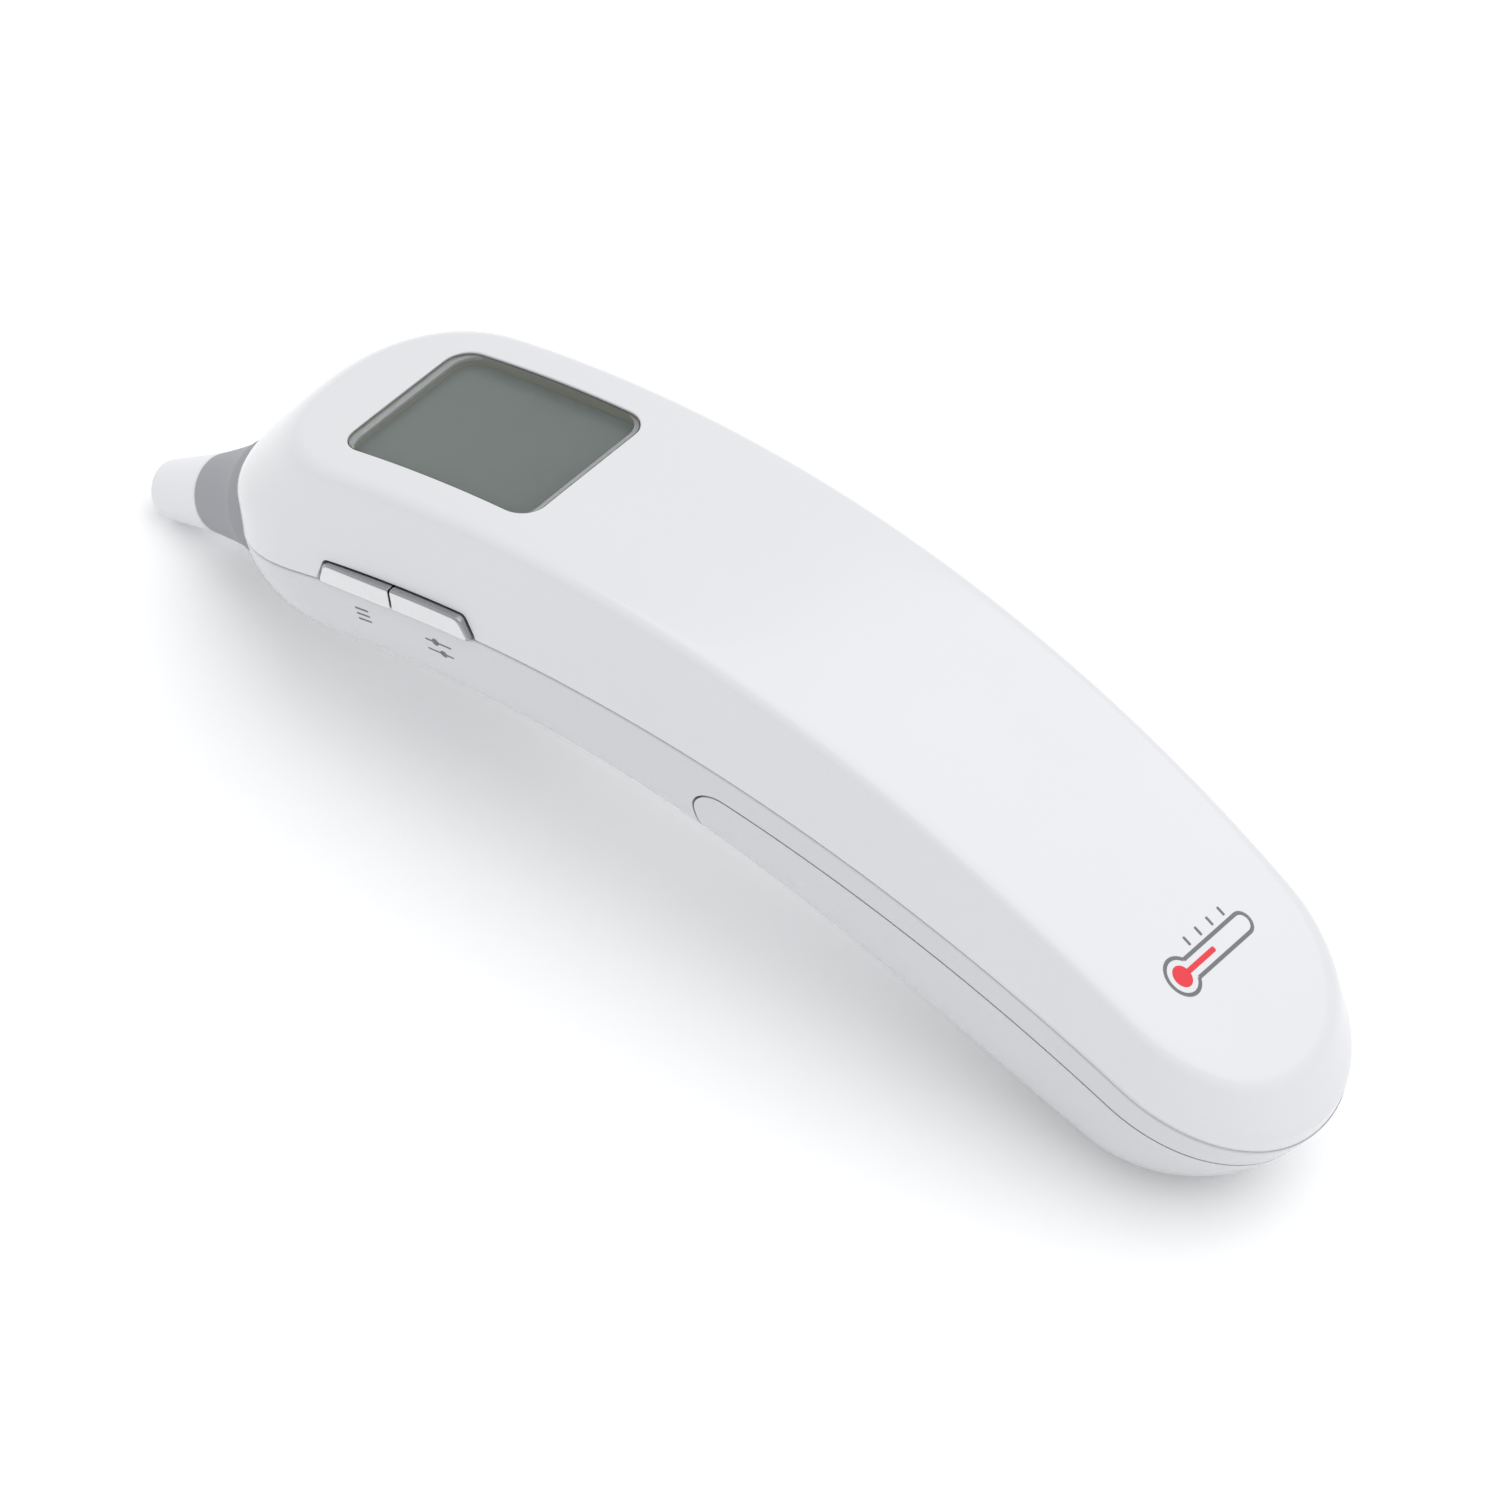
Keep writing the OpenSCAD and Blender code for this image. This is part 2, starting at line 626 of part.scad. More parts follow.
// --- keys and trigger ----------------------------------------------------------------------------------
module side_key(first) {
    lean = 1.3;
    x0 = first ? 0 : key_gap / 2;
    x1 = first ? key_l - key_gap / 2 : key_l;
    outer_y = half_width + key_proud;
    on_arc(keys_from + key_l) translate([first ? -key_l : 0, 0, seam / 2 + 0.03]) {
        rotate([90, 0, 0]) translate([0, 0, half_width - wall - 0.5])
            linear_extrude(outer_y - half_width + wall + 0.5) key_side(first, 0);
        translate([0, -half_width + wall + 0.5, 0])
            box(x0 + 0.2, x1 - 0.2, 0, key_flange, -0.02, key_h + 0.9);
    }
}
module memory_button() { color("silver") side_key(true); }
module set_button() { color("silver") side_key(false); }
module start_button() {
    gap = 0.3;
    stem_top = depth(trigger_at) + board_n - switch_h - trigger_travel - 0.3;
    color("gainsboro") on_trigger() {
        slab(trigger_l - 2 * gap, trigger_w - 2 * gap, 3 - gap, -trigger_proud, wall + 1.1);
        slab(trigger_l + 3, trigger_w + 1.6, 2, wall + 1, wall + 1.8);
        cylinder(r = 1.2, h = stem_top, $fn = fine);
    }
}

// --- probe ---------------------------------------------------------------------------------------------
module probe_collar() {
    flare_from = 1.6;
    flare_power = 0.72;
    steps = 6;
    color([0.6, 0.61, 0.63]) on_probe() difference() {
        rotate_extrude($fn = fine) difference() {
            polygon([[0, -spigot_l], [collar_r, -spigot_l],
                for (i = [0:steps]) let (t = i / steps)
                    [collar_r + (neck_r - collar_r) * pow(t, flare_power),
                        flare_from + (neck_at - flare_from) * t],
                [0, neck_at]]);
            translate([seal_at_r, -spigot_l + seal_back]) circle(seal_wire + 0.02, $fn = 32);
        }
        translate([0, 0, -spigot_l - 1]) cylinder(r = probe_bore + 1, h = spigot_l + 1, $fn = fine);
        translate([0, 0, -1]) cylinder(r = probe_bore, h = neck_at + 3, $fn = fine);
    }
}
module probe_tip() {
    rim = 0.8;
    color("white") on_probe() difference() {
        rotate_extrude($fn = fine) {
            polygon([[0, neck_at], [neck_r, neck_at], [mouth_r, mouth_at - rim],
                [mouth_r - rim, mouth_at - rim], [mouth_r - rim, mouth_at], [0, mouth_at]]);
            translate([mouth_r - rim, mouth_at - rim]) intersection() {
                circle(rim, $fn = fine);
                square(rim);
            }
        }
        translate([0, 0, neck_at - 1]) cylinder(r = probe_bore, h = 5, $fn = fine);
        translate([0, 0, neck_at - 1]) cylinder(r = guide_r + 0.05, h = 20, $fn = fine);
        translate([0, 0, mouth_at - 1]) cylinder(r = guide_r + 0.35, h = 5, $fn = fine);
    }
}
module probe_window() {
    color([0.25, 0.25, 0.3]) on_probe(mouth_at - 0.9)
        cylinder(r = guide_r + 0.3, h = 0.5, $fn = fine);
}
module wave_guide() {
    color("gold") on_probe(neck_at - 3.5) difference() {
        cylinder(r = guide_r, h = mouth_at - 1.05 - neck_at + 3.5, $fn = fine);
        translate([0, 0, -1]) cylinder(r = guide_r - 0.4, h = 30, $fn = fine);
    }
}
module sensor_holder() {
    color("dimgray") on_probe(0.1) difference() {
        cylinder(r = probe_bore - 0.03, h = neck_at + 3.5, $fn = fine);
        translate([0, 0, -1]) cylinder(r = guide_r + 0.02, h = 30, $fn = fine);
    }
}
module thermopile_sensor() {
    color("silver") on_probe() {
        translate([0, 0, 2.2]) cylinder(r = guide_r - 0.05, h = neck_at - 3.6 - 2.2, $fn = fine);
        for (i = [0:2]) rotate([0, 0, 120 * i]) translate([0.9, 0, 0.2]) cylinder(r = 0.2, h = 2.1, $fn = 16);
    }
}
module probe_seal() {
    color([0.2, 0.2, 0.2]) on_probe(-spigot_l + seal_back) rotate_extrude($fn = fine)
        translate([seal_at_r, 0]) circle(seal_wire, $fn = 32);
}
module sensor_lead() {
    back = [cos(probe_tilt), 0, sin(probe_tilt)];
    start = [arc_x + foot_x, 0, arc_z + foot_z] + 0.1 * back;
    goal = place(window_at, [board_x - board_l / 2 + 2, -4.5, board_n - 0.4]);
    path = curve([start, start + 17 * back, goal - [3, 0, 5], goal], 12);
    color("orange") for (i = [-1:1]) translate([0, 0.9 * i, 0]) sweep(path, 0.35, 8);
}

// --- cells ---------------------------------------------------------------------------------------------
module battery_tray() {
    half_l = tray_l / 2 + tray_wall;
    color("lightgray") intersection() {
        skin(wall + tray_fit);
        on_tray() difference() {
            union() {
                box(-half_l, half_l, -tray_half, tray_half, 1.3, tray_roof);
                for (end = [-1, 1]) translate([end * (half_l - tray_wall / 2), 0, 0])
                    cube([tray_wall, 2 * tray_half - 5, cell_d * 0.7], center = true);
            }
            for (hand = [-1, 1]) translate([0, hand * (cell_d + cell_gap) / 2, 0]) {
                rotate([0, 90, 0]) cylinder(r = cell_d / 2 + cell_gap, h = tray_l, center = true, $fn = fine);
                translate([0, 0, -cell_d / 2]) cube([tray_l, cell_d + 2 * cell_gap, cell_d], center = true);
                translate([half_l, hand * (tray_half - cell_d / 2 - cell_gap / 2), 0]) rotate([0, 0, 45])
                    cube([2.1, 2.1, far], center = true);
                translate([-half_l, hand * (tray_lead_y - (cell_d + cell_gap) / 2), 2.6])
                    cube([4, 1.6, 1.6], center = true);
            }
            for (end = [-1, 1]) translate([end * tray_screw_x, 0, 0]) {
                cylinder(r = tray_screw_r + 0.2, h = far, $fn = 32);
                cylinder(r = 1.6, h = tray_screw_head, $fn = 32);
            }
            box(tray_l / 2 - 0.6, tray_l / 2, -3, 3, -0.1, 3.2);
        }
    }
}
module cell(hand, way) {
    nub = 1;
    on_tray() translate([0, hand * (cell_d + cell_gap) / 2, 0]) rotate([0, 90 * way, 0]) {
        translate([0, 0, -cell_l / 2]) cylinder(r = cell_d / 2, h = cell_l - nub, $fn = fine);
        translate([0, 0, cell_l / 2 - nub - 0.1]) cylinder(r = 1.9, h = nub + 0.1, $fn = fine);
    }
}
module battery_1() { color("slategray") cell(1, -1); }
module battery_2() { color("slategray") cell(-1, 1); }
module contact_plate(end, hand) {
    translate([end * (tray_l / 2 - 0.2), hand * (cell_d + cell_gap) / 2, 0])
        cube([0.3, 7, 7], center = true);
}
// The raised middle of a plate, which the positive end of a cell touches
module contact_nub(end, hand) {
    translate([end * (tray_l / 2 + cell_l / 2 + 0.1) / 2, hand * (cell_d + cell_gap) / 2, 0])
        rotate([0, 90, 0]) cylinder(r = 1.6, h = (tray_l - cell_l) / 2 - 0.3, center = true, $fn = fine);
}
module positive_contact() {
    color("lightgray") on_tray() {
        contact_plate(-1, 1);
        contact_nub(-1, 1);
    }
}
module negative_contact() { color("lightgray") on_tray() contact_plate(-1, -1); }
module bridge_contact() {
    color("lightgray") on_tray() {
        contact_plate(1, 1);
        contact_plate(1, -1);
        translate([tray_l / 2 - 0.2, 0, 2]) cube([0.3, 5, 2], center = true);
        contact_nub(1, -1);
    }
}
function coil_path(r0, r1, l, turns, steps) = [for (i = [0:steps]) let (t = i / steps, a = 360 * turns * t)
    [l * t, (r0 + (r1 - r0) * t) * cos(a), (r0 + (r1 - r0) * t) * sin(a)]];
module contact_springs() {
    wire = 0.25;
    plate = 0.37;
    room = (tray_l - cell_l) / 2 - plate - 2.2 * wire;
    color("silver") on_tray() for (end = [-1, 1])
        translate([end * (tray_l / 2 - plate - wire), end * (cell_d + cell_gap) / 2, 0])
            mirror([end > 0 ? 1 : 0, 0, 0]) sweep(coil_path(2.8, 1.8, room, 3, 48), wire, 6);
}
module lead(hand) {
    start = place(cells_at, [-tray_l / 2 - 0.02, hand * tray_lead_y, 2.6 - tray_n]);
    goal = place(window_at, [board_x + board_l / 2 - 1.5, hand * 6, board_top + 0.55]);
    sweep(curve([start, start - [9, 0, 0], goal + [8, 0, 2.6], goal], 12), 0.5, 8);
}
module positive_lead() { color("red") lead(1); }
module negative_lead() { color([0.1, 0.1, 0.1]) lead(-1); }

// --- fasteners -----------------------------------------------------------------------------------------
module case_screws() {
    color("silver") for (hand = [-1, 1]) on_arc(screw_s, ledge_n - ledge_t - 0.05)
        translate([0, hand * screw_y, 0]) rotate([180, 0, 0]) screw(1.7, 0.9, screw_r, 6);
}
module board_screws() {
    color("silver") on_board() for (x = board_screw_x) translate([x, 0, board_n - 0.05])
        rotate([180, 0, 0]) screw(1.4, 0.9, board_screw_r, 3);
}
module tray_screws() {
    color("silver") on_tray() for (end = [-1, 1]) translate([end * tray_screw_x, 0, tray_screw_head - 0.05])
        rotate([180, 0, 0]) screw(1.4, 0.8, tray_screw_r, tray_roof - tray_screw_head + 3.5);
}

top_shell();
bottom_shell();
battery_cover();
display_lens();
lcd_panel();
lcd_frame();
backlight();
zebra_strip();
main_board();
processor();
board_parts();
buzzer();
memory_switch();
set_switch();
start_switch();
memory_button();
set_button();
start_button();
probe_collar();
probe_tip();
probe_window();
wave_guide();
sensor_holder();
thermopile_sensor();
probe_seal();
sensor_lead();
battery_tray();
battery_1();
battery_2();
positive_contact();
negative_contact();
contact_springs();
bridge_contact();
positive_lead();
negative_lead();
case_screws();
board_screws();
tray_screws();
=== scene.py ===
"""Looks of the handheld infrared ear thermometer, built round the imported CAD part."""

import math

import bmesh
import bpy
import numpy as np
from mathutils import Matrix, Vector
from mathutils.bvhtree import BVHTree
from mathutils.interpolate import poly_3d_calc


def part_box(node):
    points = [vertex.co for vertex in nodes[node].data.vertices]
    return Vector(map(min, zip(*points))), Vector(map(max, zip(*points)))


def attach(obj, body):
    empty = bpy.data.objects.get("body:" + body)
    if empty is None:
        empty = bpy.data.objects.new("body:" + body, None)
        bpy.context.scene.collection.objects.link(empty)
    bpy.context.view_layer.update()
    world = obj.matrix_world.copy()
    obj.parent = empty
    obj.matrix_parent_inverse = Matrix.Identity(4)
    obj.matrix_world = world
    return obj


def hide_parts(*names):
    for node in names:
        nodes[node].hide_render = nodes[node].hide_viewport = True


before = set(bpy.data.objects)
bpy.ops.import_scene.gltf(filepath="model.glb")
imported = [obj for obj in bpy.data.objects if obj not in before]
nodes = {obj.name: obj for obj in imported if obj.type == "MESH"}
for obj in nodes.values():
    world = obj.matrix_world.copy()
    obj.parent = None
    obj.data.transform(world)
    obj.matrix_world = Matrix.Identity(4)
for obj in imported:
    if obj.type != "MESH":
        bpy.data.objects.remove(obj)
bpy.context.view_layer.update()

# --- rules of the case, in millimetres ----------------------------------------------------------------------
# They are the CAD source's, except CROWN, SEAM, LENS_DROP and KEY_PROUD, which are set for the looks, and
# LENS_BOTTOM, which is 0.9 under the CAD's.
ARC = (3.62516, -123.27)            # centre of the arc that the parting line follows
R = 152.0
TILT = math.radians(23.8)
LENGTH = 137.3
HALF, TAPER = 15.6, 2.3
TOP = (12.3, 11.7, 4.9)             # height of the top edge at the nose, half way and at the tail
DEPTHS = (9.9, 13.1, 15.6, 18.4, 14.6)
CROWN = 0.3
WALL, SEAM, LIP = 1.8, 0.09, 0.26
NOSE, NOSE_POWER = 15.7, 2.3
TAIL, TAIL_POWER = 15.9, 2.06
SHOULDER, SHOULDER_SHARE = 0.62, 0.46
EDGE, EDGE_NOSE, EDGE_TAIL = 1.25, 9.9, 4.5
BELLY, BELLY_NOSE, BELLY_POWER = 10.3, 11.8, 2.24
COVER_START, COVER_DROP, COVER_CORNER, COVER_GAP = 67.2, 3.4, 4.0, 0.25
WINDOW_AT, WINDOW_L, WINDOW_W, WINDOW_R = 30.7, 23.4, 19.2, 2.6
LENS_GAP, LENS_DROP = 0.08, 0.14
LENS_BOTTOM, FLANGE = 9.6, 0.7
KEYS_FROM, KEY_L, KEY_H, KEY_GAP, KEY_PROUD = 18.4, 10.4, 2.4, 0.2, 0.6
KEY_LEAN = 1.3                      # how far the outer ends of the pair of keys lean in over their height
TRIGGER_AT, TRIGGER_L, TRIGGER_W, TRIGGER_PROUD = 27.0, 15.0, 9.4, 0.9
PROBE_TILT, PROBE_AT, PROBE_N = math.radians(28.9), -2.8, -4.0
COLLAR_R, NECK_R, MOUTH_R, SPIGOT = 6.35, 4.2, 3.2, 13.0
NECK_AT, MOUTH_AT, BORE, GUIDE_R = 9.2, 17.6, 2.5, 1.7

MM = 0.001
NOSE_STEPS, SIDE_STEPS, TAIL_STEPS = 26, 84, 28
HALF_RING = NOSE_STEPS + SIDE_STEPS + TAIL_STEPS


def turn(s):
    """Angle round the arc's centre, from straight up, of the distance s along the parting line."""
    return np.asarray(s, float) / R - TILT


def half_w(s):
    """Half width of the case, which narrows towards the tail."""
    return HALF - TAPER * (np.maximum(0, np.asarray(s) / LENGTH - 0.35) / 0.65) ** 2


def top_h(s):
    """Height of the top edge over the parting line: a parabola through the three values of TOP."""
    u = np.asarray(s) / LENGTH
    return TOP[0] * (1 - u) * (1 - 2 * u) + TOP[1] * 4 * u * (1 - u) + TOP[2] * u * (2 * u - 1)


def depth(s):
    """Depth of the belly under the parting line: a curve through the evenly spaced values of DEPTHS."""
    v = (len(DEPTHS) - 1) * np.asarray(s, float) / LENGTH
    total = np.zeros_like(v)
    for i, d in enumerate(DEPTHS):
        share = np.ones_like(v)
        for j in range(len(DEPTHS)):
            if j != i:
                share = share * (v - j) / (i - j)
        total = total + d * share
    return total


def crown(y):
    """How much the top bulges over its edge, across the case."""
    return CROWN * (1 - np.minimum(1, np.abs(y) / (HALF - EDGE)) ** 4)


def place(s, n, y):
    """Points of the object, in millimetres: s along the arc, n outwards from it, y across."""
    s, n, y = np.broadcast_arrays(np.asarray(s, float), np.asarray(n, float), np.asarray(y, float))
    a = turn(s)
    return np.stack([ARC[0] + (R + n) * np.sin(a), y, ARC[1] + (R + n) * np.cos(a)], -1)


# Outlines that the upper rings run through, from the parting line to the top edge and onto the top face:
# share of the height (or of the depth, if negative), inset at the sides, at the nose and at the tail, nose length
KEYS = [np.array(k, float) for k in (
    (0, 0, 0, 0, NOSE),
    (SHOULDER_SHARE, SHOULDER, 0.7, SHOULDER, NOSE - 0.5),
    (1, EDGE, EDGE_NOSE, EDGE_TAIL, NOSE - 2.3),
    (1, EDGE + 4, EDGE_NOSE + 4, EDGE_TAIL + 4, NOSE - 5.3))]


def straight_key(x):
    """An outline between those of KEYS, without blending."""
    i = min(int(x), 2)
    return KEYS[i] * (1 - (x - i)) + KEYS[i + 1] * (x - i)


def upper_key(x, blends=((1, 0.26, 0.26), (2, 0.22, 0.42))):
    """A ring of the top shell; the shoulder and the top edge are blended."""
    for corner, before, after in blends:
        if corner - before < x < corner + after:
            t = (x - corner + before) / (before + after)
            return ((1 - t) ** 2 * straight_key(corner - before) + 2 * t * (1 - t) * straight_key(corner)
                    + t * t * straight_key(corner + after))
    return straight_key(x)


def lower_key(v):
    """An outline of the belly, from the parting line (0) to the underside (1)."""
    a = math.radians(90 * v)
    f = 1 - max(0.0, math.cos(a)) ** (2 / BELLY_POWER)
    return np.array([-math.sin(a) ** (2 / BELLY_POWER), BELLY * f, BELLY_NOSE * f, BELLY * f,
                     NOSE - 0.6 * BELLY_NOSE * f])


def ring(key, e=0.0, raise_n=0.0, over=0.0, steps=(NOSE_STEPS, SIDE_STEPS, TAIL_STEPS)):
    """One closed outline of the case, e further in."""
    nose, tail = max(3, key[4] - 0.7 * e), max(3, TAIL - key[1] - e)
    s0, s3 = key[2] + e, LENGTH - key[3] - e
    s1, s2 = s0 + nose, s3 - tail
    a = np.radians(90 * np.arange(steps[0]) / steps[0])
    b = np.radians(90 * np.arange(steps[2] + 1) / steps[2])
    cos_b = np.maximum(0, np.cos(b))
    s = np.concatenate([s0 + nose * (1 - np.cos(a) ** (2 / NOSE_POWER)),
                        s1 + (s2 - s1) * np.arange(steps[1]) / steps[1],
                        s2 + tail * np.sin(b) ** (2 / TAIL_POWER)])
    f = np.concatenate([np.sin(a) ** (2 / NOSE_POWER), np.ones(steps[1]), cos_b ** (2 / TAIL_POWER)])
    f[-1] = 0
    y = np.maximum(0, half_w(s) - key[1] - e) * f
    s, y = np.concatenate([s, s[-2:0:-1]]), np.concatenate([-y, y[-2:0:-1]])
    n = key[0] * (depth(s) - e) if key[0] < 0 else key[0] * (top_h(s) - e) + over * crown(y)
    return s, y, n + raise_n


def smooth_step(x, a, b):
    t = min(1.0, max(0.0, (x - a) / (b - a)))
    return t * t * (3 - 2 * t)


# --- meshes -------------------------------------------------------------------------------------------------
def make(name, points, faces, sort_normals=True):
    """A mesh object in metres from points in millimetres."""
    mesh = bpy.data.meshes.new(name)
    mesh.from_pydata([tuple(float(c) * MM for c in p) for p in points], [], [tuple(f) for f in faces])
    bm = bmesh.new()
    bm.from_mesh(mesh)
    bmesh.ops.remove_doubles(bm, verts=bm.verts, dist=1e-8)
    if sort_normals:
        bmesh.ops.recalc_face_normals(bm, faces=bm.faces)
    for f in bm.faces:
        f.smooth = True
    bm.to_mesh(mesh)
    bm.free()
    obj = bpy.data.objects.new(name, mesh)
    bpy.context.scene.collection.objects.link(obj)
    return obj


def loft(rings, start="fan", end="fan"):
    """Points and faces of rings with equal counts, closed by a fan round the middle at each end."""
    points = [p for r in rings for p in r]
    count = len(rings[0])
    faces = []
    for low in range(0, (len(rings) - 1) * count, count):
        faces += [(low + i, low + (i + 1) % count, low + count + (i + 1) % count, low + count + i)
                  for i in range(count)]
    for which, base, how in ((rings[0], 0, start), (rings[-1], (len(rings) - 1) * count, end)):
        if how == "fan":
            points.append(np.mean(which, 0))
            faces += [(base + i, base + (i + 1) % count, len(points) - 1) for i in range(count)]
        elif how == "flat":
            faces.append(tuple(base + i for i in range(count)))
    return points, faces


def case_loft(specs, columns_first, columns_last):
    """A closed skin from a list of rings, capped by rows of quads from side to side at both ends."""
    points, faces = [], []
    count = 2 * HALF_RING
    for s, y, n in specs:
        points += list(place(s, n, y))
    for j in range(len(specs) - 1):
        for i in range(count):
            a, b = j * count + i, j * count + (i + 1) % count
            faces.append((a, b, b + count, a + count))
    for j, columns in ((0, columns_first), (len(specs) - 1, columns_last)):
        base = j * count
        s, y, n = specs[j]
        outer = j > 0
        rows = []
        for i in range(HALF_RING + 1):
            if i in (0, HALF_RING):
                rows.append([base + i])
                continue
            row = [base + i]
            edge = n[i] - (crown(y[i]) if outer and n[i] > 0 else 0)
            for k in range(1, columns):
                yy = y[i] * (1 - 2 * k / columns)
                points.append(place(s[i], edge + (crown(yy) if outer and n[i] > 0 else 0), yy))
                row.append(len(points) - 1)
            rows.append(row + [base + count - i])
        for a, b in zip(rows, rows[1:]):
            for k in range(columns):
                if len(a) == 1:
                    faces.append((a[0], b[k], b[k + 1]))
                elif len(b) == 1:
                    faces.append((a[k], a[k + 1], b[0]))
                else:
                    faces.append((a[k], a[k + 1], b[k + 1], b[k]))
    return points, faces


def apply_modifiers(obj):
    graph = bpy.context.evaluated_depsgraph_get()
    mesh = bpy.data.meshes.new_from_object(obj.evaluated_get(graph))
    obj.modifiers.clear()
    obj.data = mesh
    return obj


def cut(obj, cutter, operation="DIFFERENCE"):
    """Cuts obj with another object, which is then thrown away."""
    modifier = obj.modifiers.new("cut", "BOOLEAN")
    modifier.operation, modifier.solver, modifier.object = operation, "EXACT", cutter
    apply_modifiers(obj)
    bpy.data.objects.remove(cutter)
    return obj


def skin_record(obj):
    """What a smooth skin looked like before it is cut: its triangles and its vertex normals."""
    mesh = obj.data
    mesh.calc_loop_triangles()
    points = [v.co.copy() for v in mesh.vertices]
    triangles = [tuple(t.vertices) for t in mesh.loop_triangles]
    normals = [v.normal.copy() for v in mesh.vertices]
    return BVHTree.FromPolygons(points, triangles), points, triangles, normals


def restore_normals(obj, record, sharp_deg=32):
    """Gives the uncut skin its own smooth normals back, and keeps the cut walls crisp."""
    tree, points, triangles, normals = record
    mesh = obj.data
    on_skin = []
    for p in mesh.polygons:
        hit = tree.find_nearest(p.center)
        near = hit[0] is not None and hit[3] < 6e-6 and abs(hit[1].dot(p.normal)) > 0.85
        on_skin.append(near)
    bm = bmesh.new()
    bm.from_mesh(mesh)
    for e in bm.edges:
        if len(e.link_faces) == 2:
            a, b = (on_skin[f.index] for f in e.link_faces)
            angle = e.calc_face_angle(0)
            e.smooth = not (angle > math.radians(sharp_deg) or (a != b and angle > math.radians(12)))
    bm.to_mesh(mesh)
    bm.free()
    custom = [Vector(c.vector) for c in mesh.corner_normals]
    for p, near in zip(mesh.polygons, on_skin):
        if not near:
            continue
        for k in p.loop_indices:
            co = mesh.vertices[mesh.loops[k].vertex_index].co
            location, _, index, _ = tree.find_nearest(co)
            corners = triangles[index]
            w = poly_3d_calc([points[c] for c in corners], location)
            normal = sum((normals[c] * x for c, x in zip(corners, w)), Vector())
            if normal.length > 1e-6 and normal.normalized().dot(p.normal) > 0.6:
                custom[k] = normal.normalized()
    mesh.normals_split_custom_set(custom)


def prism(outline, low=-40, high=40):
    """A side-view outline (x, z), in millimetres, as a solid across the object."""
    rings = [[(x, y, z) for x, z in outline] for y in (low, high)]
    points, faces = loft(rings, "flat", "flat")
    return make("cutter", points, faces)


def cover_outline(grow):
    """Side view of the battery cover's zone, with its rounded front corner."""
    a = float(turn(COVER_START))
    reach = R - COVER_DROP - COVER_CORNER
    off = math.asin(COVER_CORNER / reach)
    cx, cz = reach * math.sin(a + off), reach * math.cos(a + off)
    along, left = (math.sin(a), math.cos(a)), (-math.cos(a), math.sin(a))
    base = 60                           # well under the case, measured from the arc's centre
    outline = [(along[0] * base + left[0] * grow, along[1] * base + left[1] * grow)]
    start = math.atan2(left[1], left[0])
    end = math.atan2(math.cos(a + off), math.sin(a + off))
    for k in range(25):
        t = start + (end - start) * k / 24
        outline.append((cx + (COVER_CORNER + grow) * math.cos(t), cz + (COVER_CORNER + grow) * math.sin(t)))
    past_tail = 1.1                     # radians, where the outline is clear of the case
    for t in np.linspace(a + off, past_tail, 220)[1:]:
        outline.append(((R - COVER_DROP + grow) * math.sin(t), (R - COVER_DROP + grow) * math.cos(t)))
    outline.append((base * math.sin(past_tail), base * math.cos(past_tail)))
    return [(ARC[0] + x, ARC[1] + z) for x, z in outline]


def round_rect(length, width, radius, grow=0.0, steps=10):
    """Points round a rounded rectangle; equal counts whatever it grows by."""
    l, w, r = length / 2 + grow, width / 2 + grow, max(0.05, radius + grow)
    points = []
    for quarter, (sx, sy) in enumerate(((1, 1), (-1, 1), (-1, -1), (1, -1))):
        for k in range(steps + 1):
            t = math.radians(90 * (quarter + k / steps))
            points.append((sx * (l - r) + r * math.cos(t), sy * (w - r) + r * math.sin(t)))
    dense = []
    for i, (x, y) in enumerate(points):
        nx, ny = points[(i + 1) % len(points)]
        pieces = 24 if i % (steps + 1) == steps else 1
        dense += [(x + (nx - x) * k / pieces, y + (ny - y) * k / pieces) for k in range(pieces)]
    return dense


def top_surface(s, y):
    return top_h(s) + crown(y)


def over_top(outline, at, lift):
    """Points a given height over the top face, for an outline round the place s = at."""
    s = np.array([at + p[0] for p in outline])
    y = np.array([p[1] for p in outline])
    return place(s, top_surface(s, y) + lift, y)


def over_belly(outline, at, lift):
    """Points a given distance under the belly, for an outline round the place s = at."""
    s = np.array([at + p[0] for p in outline])
    y = np.array([p[1] for p in outline])
    return place(s, -depth(s) - lift, y)


# --- materials ----------------------------------------------------------------------------------------------
def material(name):
    mat = bpy.data.materials.new(name)
    mat.use_nodes = True
    tree = mat.node_tree
    return mat, tree, tree.nodes["Principled BSDF"]


def noise(tree, scale, detail=3.0, stretch=None):
    """A noise pattern in object coordinates."""
    coords = tree.nodes.new("ShaderNodeTexCoord")
    node = tree.nodes.new("ShaderNodeTexNoise")
    node.inputs["Scale"].default_value = scale
    node.inputs["Detail"].default_value = detail
    if stretch:
        mapping = tree.nodes.new("ShaderNodeMapping")
        mapping.inputs["Scale"].default_value = stretch
        tree.links.new(coords.outputs["Object"], mapping.inputs["Vector"])
        tree.links.new(mapping.outputs["Vector"], node.inputs["Vector"])
    else:
        tree.links.new(coords.outputs["Object"], node.inputs["Vector"])
    return node.outputs["Fac"]


def ramp(tree, source, stops):
    """Colours along a value, from (position, colour) stops."""
    node = tree.nodes.new("ShaderNodeValToRGB")
    elements = node.color_ramp.elements
    while len(elements) < len(stops):
        elements.new(0.5)
    for e, (position, colour) in zip(elements, stops):
        e.position = position
        e.color = (*colour, 1) if len(colour) == 3 else colour
    tree.links.new(source, node.inputs["Fac"])
    return node.outputs["Color"]


def spread(tree, source, low, high):
    """A noise value spread from low to high."""
    node = tree.nodes.new("ShaderNodeMapRange")
    node.inputs["From Min"].default_value, node.inputs["From Max"].default_value = 0.3, 0.7
    node.inputs["To Min"].default_value, node.inputs["To Max"].default_value = low, high
    tree.links.new(source, node.inputs["Value"])
    return node.outputs["Result"]


